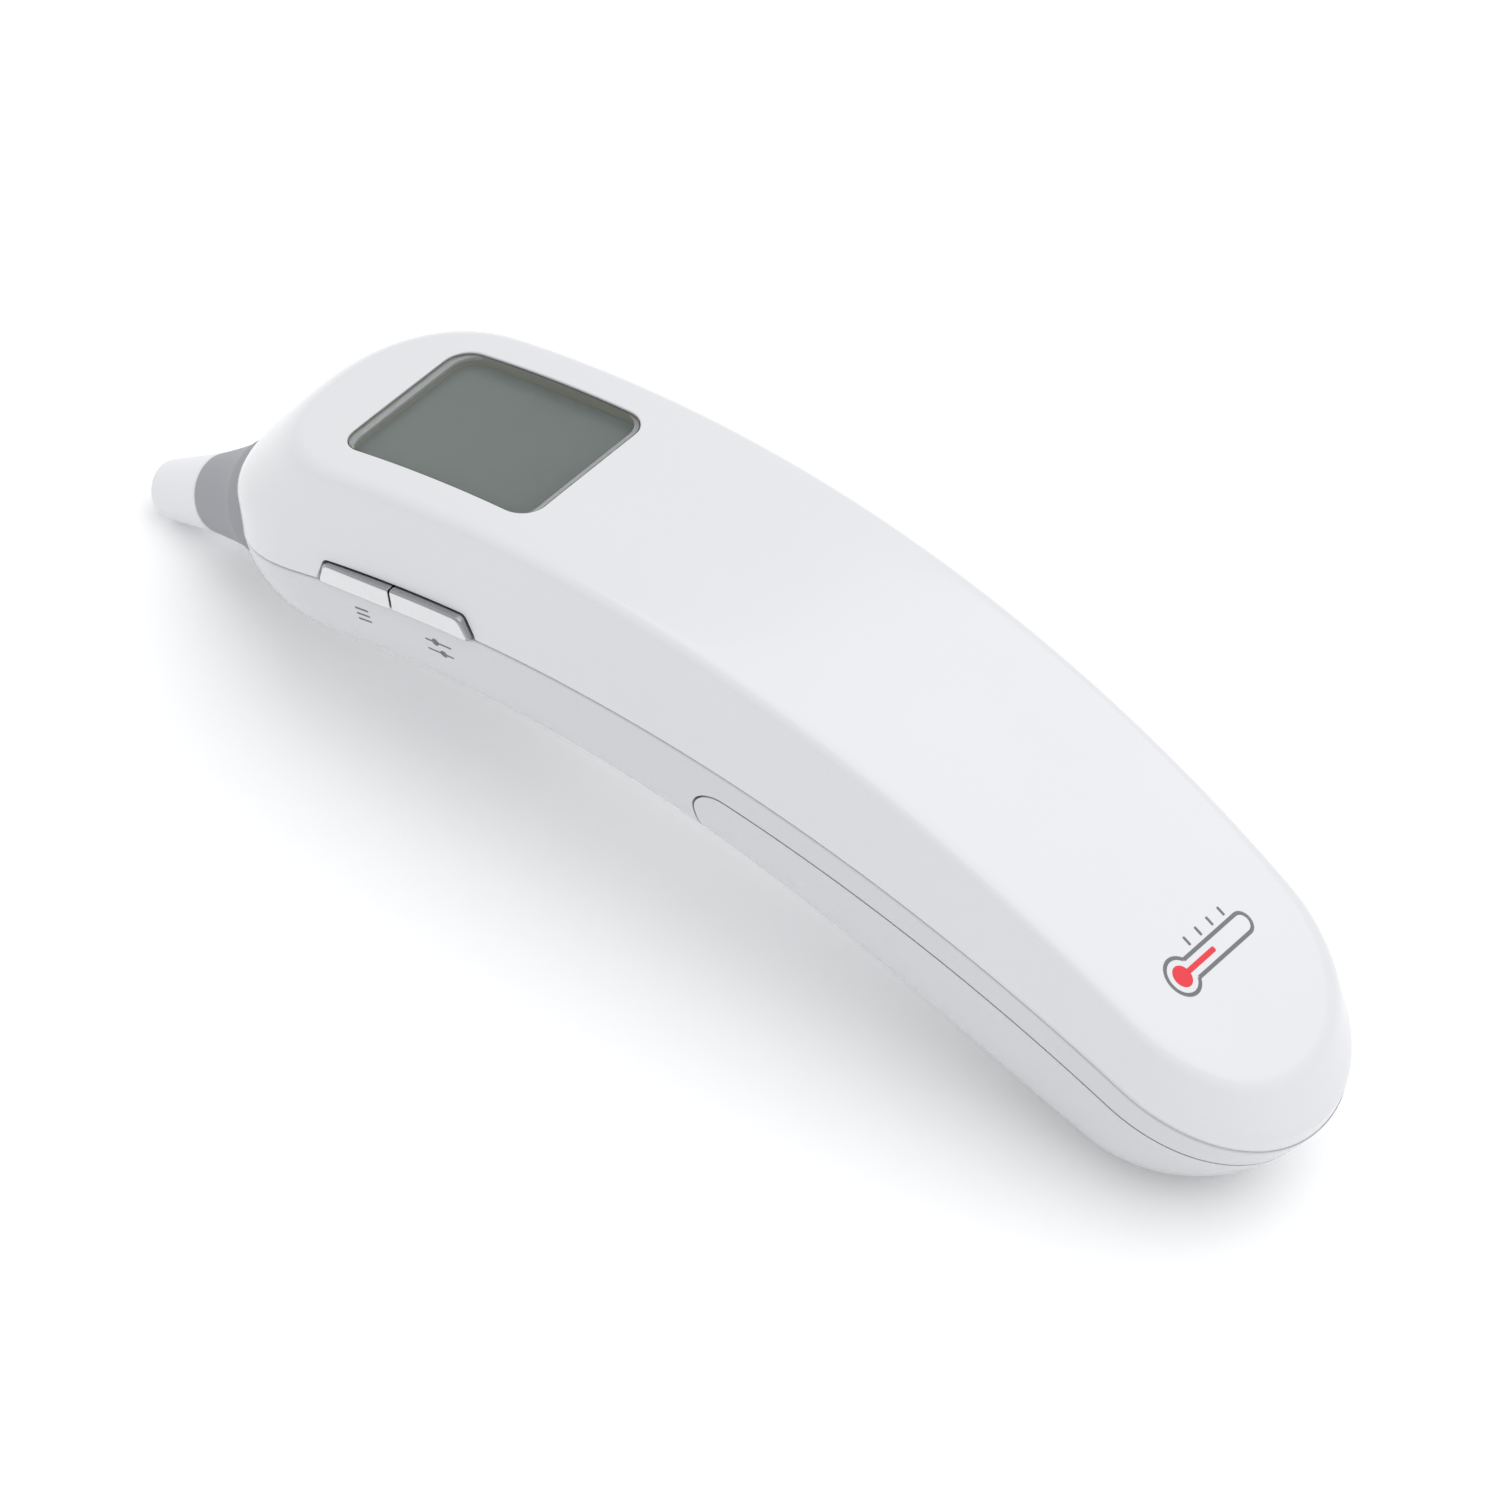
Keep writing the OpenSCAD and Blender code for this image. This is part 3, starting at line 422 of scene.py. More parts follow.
def bump(tree, shader, source, strength, distance):
    node = tree.nodes.new("ShaderNodeBump")
    node.inputs["Strength"].default_value = strength
    node.inputs["Distance"].default_value = distance
    tree.links.new(source, node.inputs["Height"])
    tree.links.new(node.outputs["Normal"], shader.inputs["Normal"])


def moulded(name, colour, rough=(0.3, 0.4), vary=0.03, grain=900.0, strength=0.05, metal=0.0, coat=0.0,
            stretch=None, distance=0.0001, broad=40.0):
    """Moulded plastic, rubber or metal: uneven tone, uneven gloss and a fine surface."""
    mat, tree, shader = material(name)
    shader.inputs["Metallic"].default_value = metal
    shader.inputs["Coat Weight"].default_value = coat
    shader.inputs["Coat Roughness"].default_value = 0.08
    tone = noise(tree, broad, 2.0, stretch)
    light = tuple(min(1.0, c * (1 + vary)) for c in colour)
    dark = tuple(c * (1 - vary) for c in colour)
    tree.links.new(ramp(tree, tone, ((0.3, dark), (0.7, light))), shader.inputs["Base Color"])
    tree.links.new(spread(tree, noise(tree, broad * 3, 3.0, stretch), *rough), shader.inputs["Roughness"])
    bump(tree, shader, noise(tree, grain, 4.0, stretch), strength, distance)
    return mat


white_gloss = moulded("white_gloss", (0.664, 0.67, 0.684), rough=(0.2, 0.27), vary=0.006, grain=260.0,
                      strength=0.015, coat=0.25)
# A darker copy of white_gloss: painted shade for the bottom shell and the battery cover, whose faces turn down
# away from the light.
white_gloss_painted_shade = moulded("white_gloss_painted_shade", (0.588, 0.594, 0.608), rough=(0.2, 0.27), vary=0.006, grain=260.0,
                      strength=0.015, coat=0.25)
white_inner = moulded("white_inner", (0.655, 0.664, 0.682), rough=(0.42, 0.5), vary=0.02, grain=700.0,
                      strength=0.1)
white_satin = moulded("white_satin", (0.727, 0.736, 0.750), rough=(0.36, 0.44), vary=0.01, grain=1100.0,
                      strength=0.05)
grey_matt = moulded("grey_matt", (0.291, 0.295, 0.314), rough=(0.48, 0.58), vary=0.03, grain=1600.0,
                    strength=0.12)
trigger_grey = moulded("trigger_grey", (0.36, 0.365, 0.385), rough=(0.4, 0.5), vary=0.03, grain=1400.0,
                       strength=0.1)
key_face = moulded("key_face", (0.7, 0.705, 0.71), rough=(0.16, 0.24), vary=0.015, grain=1200.0,
                   strength=0.02, metal=0.55, coat=0.3)
# Painted reflection: the chrome bevel is made dark grey to stand in for the dark surroundings it would reflect.
key_chrome_painted_reflection = moulded("key_chrome_painted_reflection", (0.36, 0.365, 0.38), rough=(0.06, 0.14), vary=0.03, grain=1200.0,
                     strength=0.02, metal=1.0)
print_grey = moulded("print_grey", (0.15, 0.155, 0.165), rough=(0.5, 0.6), vary=0.05, grain=2500.0,
                     strength=0.1)
print_red = moulded("print_red", (0.72, 0.015, 0.03), rough=(0.35, 0.45), vary=0.04, grain=2500.0,
                    strength=0.08)
inner_plastic = moulded("inner_plastic", (0.5, 0.51, 0.52), rough=(0.4, 0.52), vary=0.03, strength=0.1)
frosted = moulded("frosted", (0.8, 0.8, 0.74), rough=(0.45, 0.6), vary=0.02, strength=0.08)
rubber = moulded("rubber", (0.03, 0.03, 0.032), rough=(0.65, 0.8), vary=0.1, grain=1500.0, strength=0.2)
chip = moulded("chip", (0.02, 0.02, 0.022), rough=(0.45, 0.6), vary=0.1, grain=2500.0, strength=0.15)
ceramic = moulded("ceramic", (0.42, 0.28, 0.15), rough=(0.35, 0.5), vary=0.08, strength=0.08)
steel = moulded("steel", (0.62, 0.62, 0.63), rough=(0.2, 0.36), vary=0.05, grain=700.0, strength=0.06,
                metal=1.0, stretch=(1, 6, 1))
gold = moulded("gold", (0.85, 0.6, 0.22), rough=(0.15, 0.28), vary=0.04, metal=1.0, strength=0.03)
red_wire = moulded("red_wire", (0.5, 0.02, 0.02), rough=(0.4, 0.5), vary=0.06)
black_wire = moulded("black_wire", (0.02, 0.02, 0.02), rough=(0.4, 0.5), vary=0.06)
orange_wire = moulded("orange_wire", (0.62, 0.24, 0.04), rough=(0.3, 0.4), vary=0.06)
# Painted shade: a dark line round the display window, standing in for the shadow in the gap round the lens and at
# the display's edge.
lens_edge_painted_shade = moulded("lens_edge_painted_shade", (0.07, 0.072, 0.07), rough=(0.3, 0.4), vary=0.06, strength=0.03)
sealant = moulded("sealant", (0.44, 0.43, 0.35), rough=(0.5, 0.6), vary=0.05, strength=0.05)
dark_window = moulded("dark_window", (0.03, 0.03, 0.036), rough=(0.06, 0.12), vary=0.1, strength=0.01)


def board_material():
    """Green solder mask with lighter lines."""
    mat, tree, shader = material("board_green")
    coords = tree.nodes.new("ShaderNodeTexCoord")
    cells = tree.nodes.new("ShaderNodeTexVoronoi")
    cells.feature = "DISTANCE_TO_EDGE"
    cells.inputs["Scale"].default_value = 420
    tree.links.new(coords.outputs["Object"], cells.inputs["Vector"])
    tracks = ramp(tree, cells.outputs["Distance"], ((0.02, (0.03, 0.2, 0.09)), (0.07, (0.008, 0.09, 0.035))))
    tree.links.new(tracks, shader.inputs["Base Color"])
    tree.links.new(spread(tree, noise(tree, 200), 0.25, 0.4), shader.inputs["Roughness"])
    bump(tree, shader, cells.outputs["Distance"], 0.1, 0.0001)
    return mat


def cell_material(node, plus_at_tail):
    """A cell's printed sleeve: dark, with a gold band at its positive end."""
    mat, tree, shader = material(node + "_jacket")
    coords = tree.nodes.new("ShaderNodeTexCoord")
    split = tree.nodes.new("ShaderNodeSeparateXYZ")
    tree.links.new(coords.outputs["Object"], split.inputs["Vector"])
    place_x = tree.nodes.new("ShaderNodeMapRange")
    low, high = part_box(node)
    ends = (low.x, high.x) if plus_at_tail else (high.x, low.x)
    place_x.inputs["From Min"].default_value, place_x.inputs["From Max"].default_value = ends
    tree.links.new(split.outputs["X"], place_x.inputs["Value"])
    metal, sleeve, gold_band = (0.6, 0.6, 0.6), (0.05, 0.07, 0.13), (0.55, 0.42, 0.2)
    bands = ramp(tree, place_x.outputs["Result"], (
        (0.0, metal), (0.04, sleeve), (0.72, sleeve), (0.75, gold_band), (0.96, gold_band), (0.98, metal)))
    tree.links.new(bands, shader.inputs["Base Color"])
    shader.inputs["Metallic"].default_value = 0.35
    tree.links.new(spread(tree, noise(tree, 150), 0.22, 0.34), shader.inputs["Roughness"])
    bump(tree, shader, noise(tree, 900), 0.03, 0.0001)
    return mat


def lcd_material():
    """Unlit liquid crystal glass: greenish grey, a little uneven, with a fine grain."""
    mat, tree, shader = material("lcd_glass")
    tone = ramp(tree, noise(tree, 60, 2.0), ((0.3, (0.225, 0.265, 0.25)), (0.7, (0.24, 0.285, 0.265))))
    tree.links.new(tone, shader.inputs["Base Color"])
    tree.links.new(spread(tree, noise(tree, 300), 0.28, 0.36), shader.inputs["Roughness"])
    bump(tree, shader, noise(tree, 700), 0.006, 0.00005)
    return mat


def lens_material():
    """Clear plastic with a very faint green tint."""
    mat, tree, shader = material("clear_lens")
    tone = ramp(tree, noise(tree, 30, 1.0), ((0.3, (0.93, 0.945, 0.93)), (0.7, (0.95, 0.96, 0.945))))
    tree.links.new(tone, shader.inputs["Base Color"])
    shader.inputs["Transmission Weight"].default_value = 1.0
    shader.inputs["IOR"].default_value = 1.45
    tree.links.new(spread(tree, noise(tree, 200), 0.0, 0.02), shader.inputs["Roughness"])
    return mat


board_green, lcd_glass, clear_lens = board_material(), lcd_material(), lens_material()


def finish_piece(obj, mats, body, replaces=()):
    """Gives a piece its materials by index, its body and the CAD nodes that it replaces."""
    if not isinstance(mats, (list, tuple)):
        mats = [mats]
    chosen = [min(f.material_index, len(mats) - 1) for f in obj.data.polygons]
    obj.data.materials.clear()
    for m in mats:
        obj.data.materials.append(m)
    obj.data.polygons.foreach_set("material_index", chosen)
    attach(obj, body)
    if replaces:
        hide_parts(*replaces)
    return obj


# --- case ---------------------------------------------------------------------------------------------------
def lip_rings(key, sign):
    """The rounded lip of a shell at the parting line, from its inner edge outwards."""
    out = []
    for k in range(5):
        t = math.radians(90 * k / 4)
        out.append(ring(key, LIP * (1 - math.sin(t)), sign * (SEAM / 2 + LIP * (1 - math.cos(t)))))
    return out


HALF_WALL = WALL / 2
BELLY_STOPS = (1, 0.86, 0.72, 0.56, 0.4, 0.2)      # rings of the belly's inner face, from the underside up


def top_layer():
    """The outer half of the top shell's wall."""
    stops = [0.09, 0.2, 0.35, 0.5, 0.62] + list(np.arange(0.7, 1.34, 0.05)) + [1.45, 1.6, 1.72] \
        + list(np.arange(1.78, 2.5, 0.04)) + [2.6, 2.8, 3.0]
    inner = [ring(straight_key(x), HALF_WALL, over=smooth_step(x, 1.8, 2.4))
             for x in (3.0, 2.5, 2.0, 1.5, 1.0, 0.5)]
    inner.append(ring(KEYS[0], HALF_WALL, SEAM / 2))
    outer = lip_rings(KEYS[0], 1) + [ring(upper_key(x), over=smooth_step(x, 1.75, 2.4)) for x in stops]
    return make("top_shell_skin", *case_loft(inner + outer, 4, 28))


def low_layer(name, lips):
    """The outer half of the lower wall, from the parting line to the underside."""
    key = lower_key(0)
    inner = [ring(lower_key(v), HALF_WALL) for v in BELLY_STOPS]
    inner.append(ring(key, HALF_WALL, -SEAM / 2))
    if lips:        # a low tongue closes the seam a little way in
        inner += [ring(key, 0.75, SEAM / 4), ring(key, LIP + 0.06, SEAM / 4), ring(key, LIP + 0.05, -SEAM / 2)]
    outer = lip_rings(key, -1) if lips else [ring(key, 0, -SEAM / 2)]
    outer += [ring(lower_key(v)) for v in [0.035, 0.06, 0.09] + list(np.linspace(0.13, 1, 30))]
    return make(name, *case_loft(inner + outer, 2, 12))


def probe_frame():
    """The probe's foot on its axis, and the directions along the axis, across and up."""
    a = float(turn(PROBE_AT))
    foot = Vector((ARC[0] + (R + PROBE_N) * math.sin(a), 0, ARC[1] + (R + PROBE_N) * math.cos(a)))
    axis = Vector((-math.cos(PROBE_TILT), 0, -math.sin(PROBE_TILT)))
    side = Vector((0, 1, 0))
    return foot, axis, side, axis.cross(side)


FOOT, AXIS, SIDE, UP = probe_frame()


def turned(name, profile, segments=128, close=True):
    """A piece turned round the probe's axis from (radius, distance) points, closed into a solid."""
    rings = []
    for r, along in profile:
        rings.append([np.array(FOOT + AXIS * along + (SIDE * math.cos(t) + UP * math.sin(t)) * r)
                      for t in np.linspace(0, 2 * math.pi, segments, endpoint=False)])
    if close:
        rings.append(rings[0])
        points, faces = loft(rings, "open", "open")
    else:
        points, faces = loft(rings, "fan", "fan")
    return make(name, points, faces)


def key_side(first, grow=0.0):
    """Corners of a key in side view: distance along the arc and height over the parting line."""
    x0 = KEYS_FROM if first else KEYS_FROM + KEY_L + KEY_GAP / 2
    x1 = KEYS_FROM + KEY_L - KEY_GAP / 2 if first else KEYS_FROM + 2 * KEY_L
    lean0, lean1 = (KEY_LEAN, 0) if first else (0, KEY_LEAN)
    low, high = SEAM / 2 + 0.03, SEAM / 2 + 0.03 + KEY_H
    return [(x0 - grow, low - grow), (x1 + grow, low - grow),
            (x1 - lean1 + grow, high + grow), (x0 + lean0 - grow, high + grow)]


def inset_corners(corners, insets):
    """Moves each side of a polygon in; the side k runs from corner k to corner k + 1."""
    lines = []
    count = len(corners)
    for k in range(count):
        (ax, ay), (bx, by) = corners[k], corners[(k + 1) % count]
        length = math.hypot(bx - ax, by - ay)
        nx, ny = -(by - ay) / length, (bx - ax) / length
        lines.append(((ax + nx * insets[k], ay + ny * insets[k]), (bx - ax, by - ay)))
    result = []
    for k in range(count):
        (p, d), (q, e) = lines[k - 1], lines[k]
        det = d[0] * e[1] - d[1] * e[0]
        t = ((q[0] - p[0]) * e[1] - (q[1] - p[1]) * e[0]) / det
        result.append((p[0] + d[0] * t, p[1] + d[1] * t))
    return result


def round_corners(corners, radii, steps=6):
    """Points round a polygon with rounded corners, with the long sides split up."""
    count = len(corners)
    points = []
    for k in range(count):
        p, a, b = (np.array(corners[j % count], float) for j in (k, k - 1, k + 1))
        u, v = (a - p) / np.linalg.norm(a - p), (b - p) / np.linalg.norm(b - p)
        half = math.acos(max(-1, min(1, float(u @ v)))) / 2
        reach = radii[k] / math.tan(half)
        start, end = p + u * reach, p + v * reach
        middle = p + (u + v) / np.linalg.norm(u + v) * (radii[k] / math.sin(half))
        t0 = math.atan2(*(start - middle)[::-1])
        t1 = math.atan2(*(end - middle)[::-1])
        while t1 - t0 > math.pi:
            t1 -= 2 * math.pi
        while t1 - t0 < -math.pi:
            t1 += 2 * math.pi
        points.append([middle + radii[k] * np.array([math.cos(t), math.sin(t)])
                       for t in np.linspace(t0, t1, steps + 1)])
    dense = []
    for k in range(count):
        dense += points[k]
        a, b = points[k][-1], points[(k + 1) % count][0]
        dense += [a + (b - a) * j / 14 for j in range(1, 14)]
    return dense


def side_ring(outline, y):
    """A side-view outline at the distance y across the case."""
    s = np.array([p[0] for p in outline])
    n = np.array([p[1] for p in outline])
    return place(s, n, np.full(len(s), float(y)))


def window_cutter():
    """The display opening, with a small rounded lip."""
    lip = 0.16
    rings = []
    for lift in (-4.5, -1.2):
        rings.append(over_top(round_rect(WINDOW_L, WINDOW_W, WINDOW_R), WINDOW_AT, lift))
    for k in range(6):
        t = math.radians(14 * k)
        rings.append(over_top(round_rect(WINDOW_L, WINDOW_W, WINDOW_R, lip * (1 - math.cos(t))), WINDOW_AT,
                              -lip * (1 - math.sin(t))))
    rings.append(over_top(round_rect(WINDOW_L, WINDOW_W, WINDOW_R, lip), WINDOW_AT, 0.06))
    rings.append(over_top(round_rect(WINDOW_L, WINDOW_W, WINDOW_R, lip), WINDOW_AT, 4))
    return make("cutter", *loft(rings))


def keys_cutter():
    """The opening for both side keys, which widens outwards."""
    x0, x1 = KEYS_FROM - KEY_GAP, KEYS_FROM + 2 * KEY_L + KEY_GAP
    seam, high = SEAM / 2, SEAM / 2 + KEY_H + KEY_GAP
    corners = [(x0, -0.5), (x1, -0.5), (x1, seam), (x1 - KEY_LEAN, high), (x0 + KEY_LEAN, high), (x0, seam)]
    lip = 0.16
    rings = []
    for grow, y in ((0, -10), (0, -HALF + 0.5), (0.02, -HALF + 0.3), (0.06, -HALF + 0.2), (lip, -HALF + 0.02),
                    (lip * 2.5, -HALF - 0.4), (lip * 2.5, -20)):
        grown = inset_corners(corners, [-grow] * 6)
        rings.append(side_ring(round_corners(grown, [0.05, 0.05, 0.3, 0.9, 0.9, 0.3]), y))
    return make("cutter", *loft(rings))


def trigger_cutter():
    """The opening for the trigger in the belly, with a soft lip."""
    lip = 0.25
    rings = []
    for grow, lift in ((0, -8), (0, -0.5), (0.03, -0.22), (0.1, -0.08), (lip, 0.03), (lip, 6)):
        rings.append(over_belly(round_rect(TRIGGER_L, TRIGGER_W, 3, grow), TRIGGER_AT, lift))
    return make("cutter", *loft(rings))


def probe_cutter():
    return turned("cutter", ((COLLAR_R + 0.08, -SPIGOT - 1), (COLLAR_R + 0.08, 30)), 96, close=False)


def inner_part(node):
    """The inner half of a CAD shell, with its ribs, posts and ledges."""
    mesh = nodes[node].data.copy()
    obj = bpy.data.objects.new(node + "_inside", mesh)
    bpy.context.scene.collection.objects.link(obj)
    bm = bmesh.new()
    bm.from_mesh(mesh)
    bmesh.ops.remove_doubles(bm, verts=bm.verts, dist=2e-7)
    for f in bm.faces:
        f.smooth = False
    bm.to_mesh(mesh)
    bm.free()
    e = HALF_WALL + 0.02
    keys = [(lower_key(v), 0) for v in BELLY_STOPS]
    keys += [(straight_key(x), 1 if x > 2 else 0) for x in (0, 0.9, 1.1, 1.9, 2.1, 2.5, 3)]
    core = make("cutter", *case_loft([ring(k, e, over=o) for k, o in keys], 2, 2))
    return cut(obj, core, "INTERSECT")


top = top_layer()
top_was = skin_record(top)
for cutter in (window_cutter(), keys_cutter(), probe_cutter()):
    cut(top, cutter)
restore_normals(top, top_was)
finish_piece(top, white_gloss, "root", ["top_shell"])

bottom = low_layer("bottom_shell_skin", True)
bottom_was = skin_record(bottom)
for cutter in (prism(cover_outline(COVER_GAP / 2)), trigger_cutter(), probe_cutter()):
    cut(bottom, cutter)
restore_normals(bottom, bottom_was)
# The bottom shell and the battery cover take the darker copy of the white: painted shade.
finish_piece(bottom, white_gloss_painted_shade, "root", ["bottom_shell"])

cover = low_layer("battery_cover_skin", False)
cover_was = skin_record(cover)
cut(cover, prism(cover_outline(-COVER_GAP / 2)), "INTERSECT")
FAR = 200
square = ((-FAR, -FAR), (FAR, -FAR), (FAR, FAR), (-FAR, FAR))
below_table = make("cutter", *loft([[(x, y, z) for x, y in square] for z in (-FAR, 0)], "flat", "flat"))
cut(cover, below_table)
restore_normals(cover, cover_was)
finish_piece(cover, white_gloss_painted_shade, "cover", ["battery_cover"])

for node, body in (("top_shell", "root"), ("bottom_shell", "root"), ("battery_cover", "cover")):
    finish_piece(inner_part(node), white_inner, body, [node])


# --- probe --------------------------------------------------------------------------------------------------
def flare(t):
    """The collar's radius, from the case (0) to the neck of the tip (1)."""
    return COLLAR_R + (NECK_R - COLLAR_R) * t ** 0.72


collar_profile = [(BORE + 1, -SPIGOT), (COLLAR_R - 0.2, -SPIGOT), (COLLAR_R, -SPIGOT + 0.2), (COLLAR_R, 1.5)]
collar_profile += [(float(flare(t)), 1.6 + (NECK_AT - 1.6) * t) for t in np.linspace(0, 1, 26)[1:-1]]
collar_profile += [(NECK_R + 0.01, NECK_AT - 0.12), (NECK_R - 0.08, NECK_AT - 0.02), (NECK_R - 0.2, NECK_AT),
                   (BORE, NECK_AT), (BORE, 0), (BORE + 1, -0.02)]
collar = turned("probe_collar_shaped", collar_profile)
finish_piece(collar, grey_matt, "root", ["probe_collar"])

rim = 0.75
tip_profile = [(BORE, NECK_AT), (NECK_R - 0.2, NECK_AT), (NECK_R - 0.06, NECK_AT + 0.04),
               (NECK_R, NECK_AT + 0.14)]
slope = (MOUTH_R - NECK_R) / (MOUTH_AT - rim - NECK_AT)
tip_profile += [(NECK_R + slope * (x - NECK_AT), x)
                for x in np.linspace(NECK_AT + 0.6, MOUTH_AT - rim - 0.1, 12)]
for k in range(10):
    t = math.radians(90 * k / 9)
    tip_profile.append((MOUTH_R - rim + rim * math.cos(t), MOUTH_AT - rim + rim * math.sin(t)))
tip_profile += [(GUIDE_R + 0.45, MOUTH_AT), (GUIDE_R + 0.37, MOUTH_AT - 0.06), (GUIDE_R + 0.35, MOUTH_AT - 1),
                (GUIDE_R + 0.05, MOUTH_AT - 1), (GUIDE_R + 0.05, NECK_AT + 4), (BORE, NECK_AT + 4)]
tip = turned("probe_tip_shaped", tip_profile)
finish_piece(tip, white_satin, "root", ["probe_tip"])


# --- window -------------------------------------------------------------------------------------------------
def lens_piece():
    """The display window: a flange under the case's wall and a face that follows the case's top."""
    size = (WINDOW_L - 2 * LENS_GAP, WINDOW_W - 2 * LENS_GAP, WINDOW_R - LENS_GAP)
    foot = float(turn(WINDOW_AT))
    out, along = Vector((math.sin(foot), 0, math.cos(foot))), Vector((math.cos(foot), 0, -math.sin(foot)))
    centre = Vector((ARC[0], 0, ARC[1]))

    def flat(outline, n):
        return [np.array(centre + out * (R + n) + along * x + Vector((0, y, 0))) for x, y in outline]

    big = (WINDOW_L + 2.2, WINDOW_W + 1.4, WINDOW_R)
    foot_n, edge = LENS_BOTTOM - FLANGE, 0.09
    rings = [flat(round_rect(*size, -0.35), foot_n), flat(round_rect(*size, 0.2), foot_n),
             flat(round_rect(*big), foot_n), flat(round_rect(*big), LENS_BOTTOM),
             flat(round_rect(*size), LENS_BOTTOM), over_top(round_rect(*size), WINDOW_AT, -LENS_DROP - 0.5)]
    for k in range(5):
        t = math.radians(22.5 * k)
        rings.append(over_top(round_rect(*size, -edge * (1 - math.cos(t))), WINDOW_AT,
                              -LENS_DROP - edge * (1 - math.sin(t))))
    top_edge = round_rect(*size, -edge)
    for share in np.linspace(0.9, 0.15, 6):
        rings.append(over_top([(x * share, y * share) for x, y in top_edge], WINDOW_AT, -LENS_DROP))
    obj = make("display_lens_shaped", *loft(rings))
    clear, dark, seal = 0, 1, 2
    # The dark bands, on the flange and on the outer edge of the top, are painted shade for the gap round the lens
    # and the display's edge.
    bands = (dark, dark, dark, dark, seal, dark, dark, dark)    # from the foot up to the top edge
    count = len(rings[0])
    for polygon in obj.data.polygons:
        band = polygon.index // count
        polygon.material_index = bands[band] if band < len(bands) else clear
    return obj


def mark_sharp(obj, degrees=38):
    """Keeps the clear edges of a smooth piece crisp."""
    bm = bmesh.new()
    bm.from_mesh(obj.data)
    for e in bm.edges:
        if len(e.link_faces) == 2 and e.calc_face_angle(0) > math.radians(degrees):
            e.smooth = False
    bm.to_mesh(obj.data)
    bm.free()
    return obj


lens = mark_sharp(lens_piece())
finish_piece(lens, [clear_lens, lens_edge_painted_shade, sealant], "root", ["display_lens"])


# --- keys and trigger ---------------------------------------------------------------------------------------
def key_piece(name, first):
    """A key with a bright face and a narrow chrome bevel, whose dark grey is a painted reflection; it stands out
    less towards the nose.
    """
    corners = key_side(first)
    insets = [0.05, 0.06 if first else 0.3, 0.22, 0.26 if first else 0.06]
    radii = [0.2, 0.2, 0.12, 1.0] if first else [0.12, 0.2, 1.0, 0.12]

    def proud_ring(share, fall):
        outline = round_corners(inset_corners(corners, [i * share for i in insets]), radii)
        s, n = (np.array([p[k] for p in outline]) for k in (0, 1))
        proud = KEY_PROUD - 0.4 * np.clip((KEYS_FROM + 9 - s) / 9, 0, 1) ** 1.5
        return place(s, n, -HALF - proud + fall)

    rings = [side_ring(round_corners(corners, radii), y) for y in (-HALF + WALL + 0.5, -HALF + 0.6)]
    bevel = ((0.02, 0.24), (0.12, 0.18), (0.35, 0.11), (0.6, 0.06), (0.85, 0.02), (1.0, 0.0))
    rings += [proud_ring(share, fall) for share, fall in bevel]
    rings += [proud_ring(share, 0.0) for share in (1.2, 1.6)]
    obj = make(name, *loft(rings))
    # The sides and the bevel take the chrome, whose dark grey is a painted reflection.
    chrome = 7 * len(rings[0])
    for polygon in obj.data.polygons:
        polygon.material_index = 1 if polygon.index < chrome else 0
    return mark_sharp(obj, 50)


for name, first, body in (("memory_button", True, "memory_key"), ("set_button", False, "set_key")):
    piece = key_piece(name + "_shaped", first)
    finish_piece(piece, [key_face, key_chrome_painted_reflection], body, [name])


def trigger_piece():
    """The trigger: a flange inside the belly and a face with a rounded edge."""
    gap, edge = 0.3, 0.6
    size = (TRIGGER_L - 2 * gap, TRIGGER_W - 2 * gap, 3 - gap)
    foot = round_rect(TRIGGER_L + 3, TRIGGER_W + 1.6, 2)
    rings = [over_belly(foot, TRIGGER_AT, -WALL - lift) for lift in (0.8, 0.1)]
    rings.append(over_belly(round_rect(*size), TRIGGER_AT, -WALL))
    for k in range(7):
        t = math.radians(15 * k)
        rings.append(over_belly(round_rect(*size, -edge * (1 - math.cos(t))), TRIGGER_AT,
                                TRIGGER_PROUD - 0.3 - edge * (1 - math.sin(t))))
    top_edge = round_rect(*size, -edge)
    for share, lift in ((0.85, 0.57), (0.65, 0.5), (0.4, 0.43), (0.15, 0.4)):   # a hollow for the finger
        rings.append(over_belly([(x * share, y * share) for x, y in top_edge], TRIGGER_AT, lift))
    return mark_sharp(make("start_button_shaped", *loft(rings)), 60)


finish_piece(trigger_piece(), trigger_grey, "trigger", ["start_button"])


# --- printed marks, generic ---------------------------------------------------------------------------------
def project(outlines, origin_of, direction, tree, lift=0.012):
    """Thin printed shapes laid on a surface: each outline point is cast onto it."""
    points, faces = [], []
    for outline in outlines:
        base = len(points)
        for p in outline:
            start = Vector(origin_of(p)) * MM
            hit, normal, _, _ = tree.ray_cast(start, direction)
            points.append(np.array((hit - direction * lift * MM) / MM))
        middle = Vector(np.mean([origin_of(p) for p in outline], 0)) * MM
        hit, _, _, _ = tree.ray_cast(middle, direction)
        points.append(np.array((hit - direction * lift * MM) / MM))
        count = len(outline)
        faces += [(base + k, base + (k + 1) % count, base + count) for k in range(count)]
    return points, faces


def bar(cx, cy, length, width, steps=6):
    """A bar with rounded ends."""
    return [(cx + x, cy + y) for x, y in round_rect(length, width, min(length, width) / 2 - 0.06, 0, steps)]


def strip(points, width):
    """A closed band of quads as small outlines, for rings and arcs."""
    out = []
    for (ax, ay), (bx, by) in zip(points, points[1:]):
        length = math.hypot(bx - ax, by - ay)
        nx, ny = -(by - ay) / length * width / 2, (bx - ax) / length * width / 2
        out.append([(ax + nx, ay + ny), (bx + nx, by + ny), (bx - nx, by - ny), (ax - nx, ay - ny)])
    return out


def circle(cx, cy, r, steps=36):
    return [(cx + r * math.cos(t), cy + r * math.sin(t)) for t in np.linspace(0, 2 * math.pi, steps + 1)]


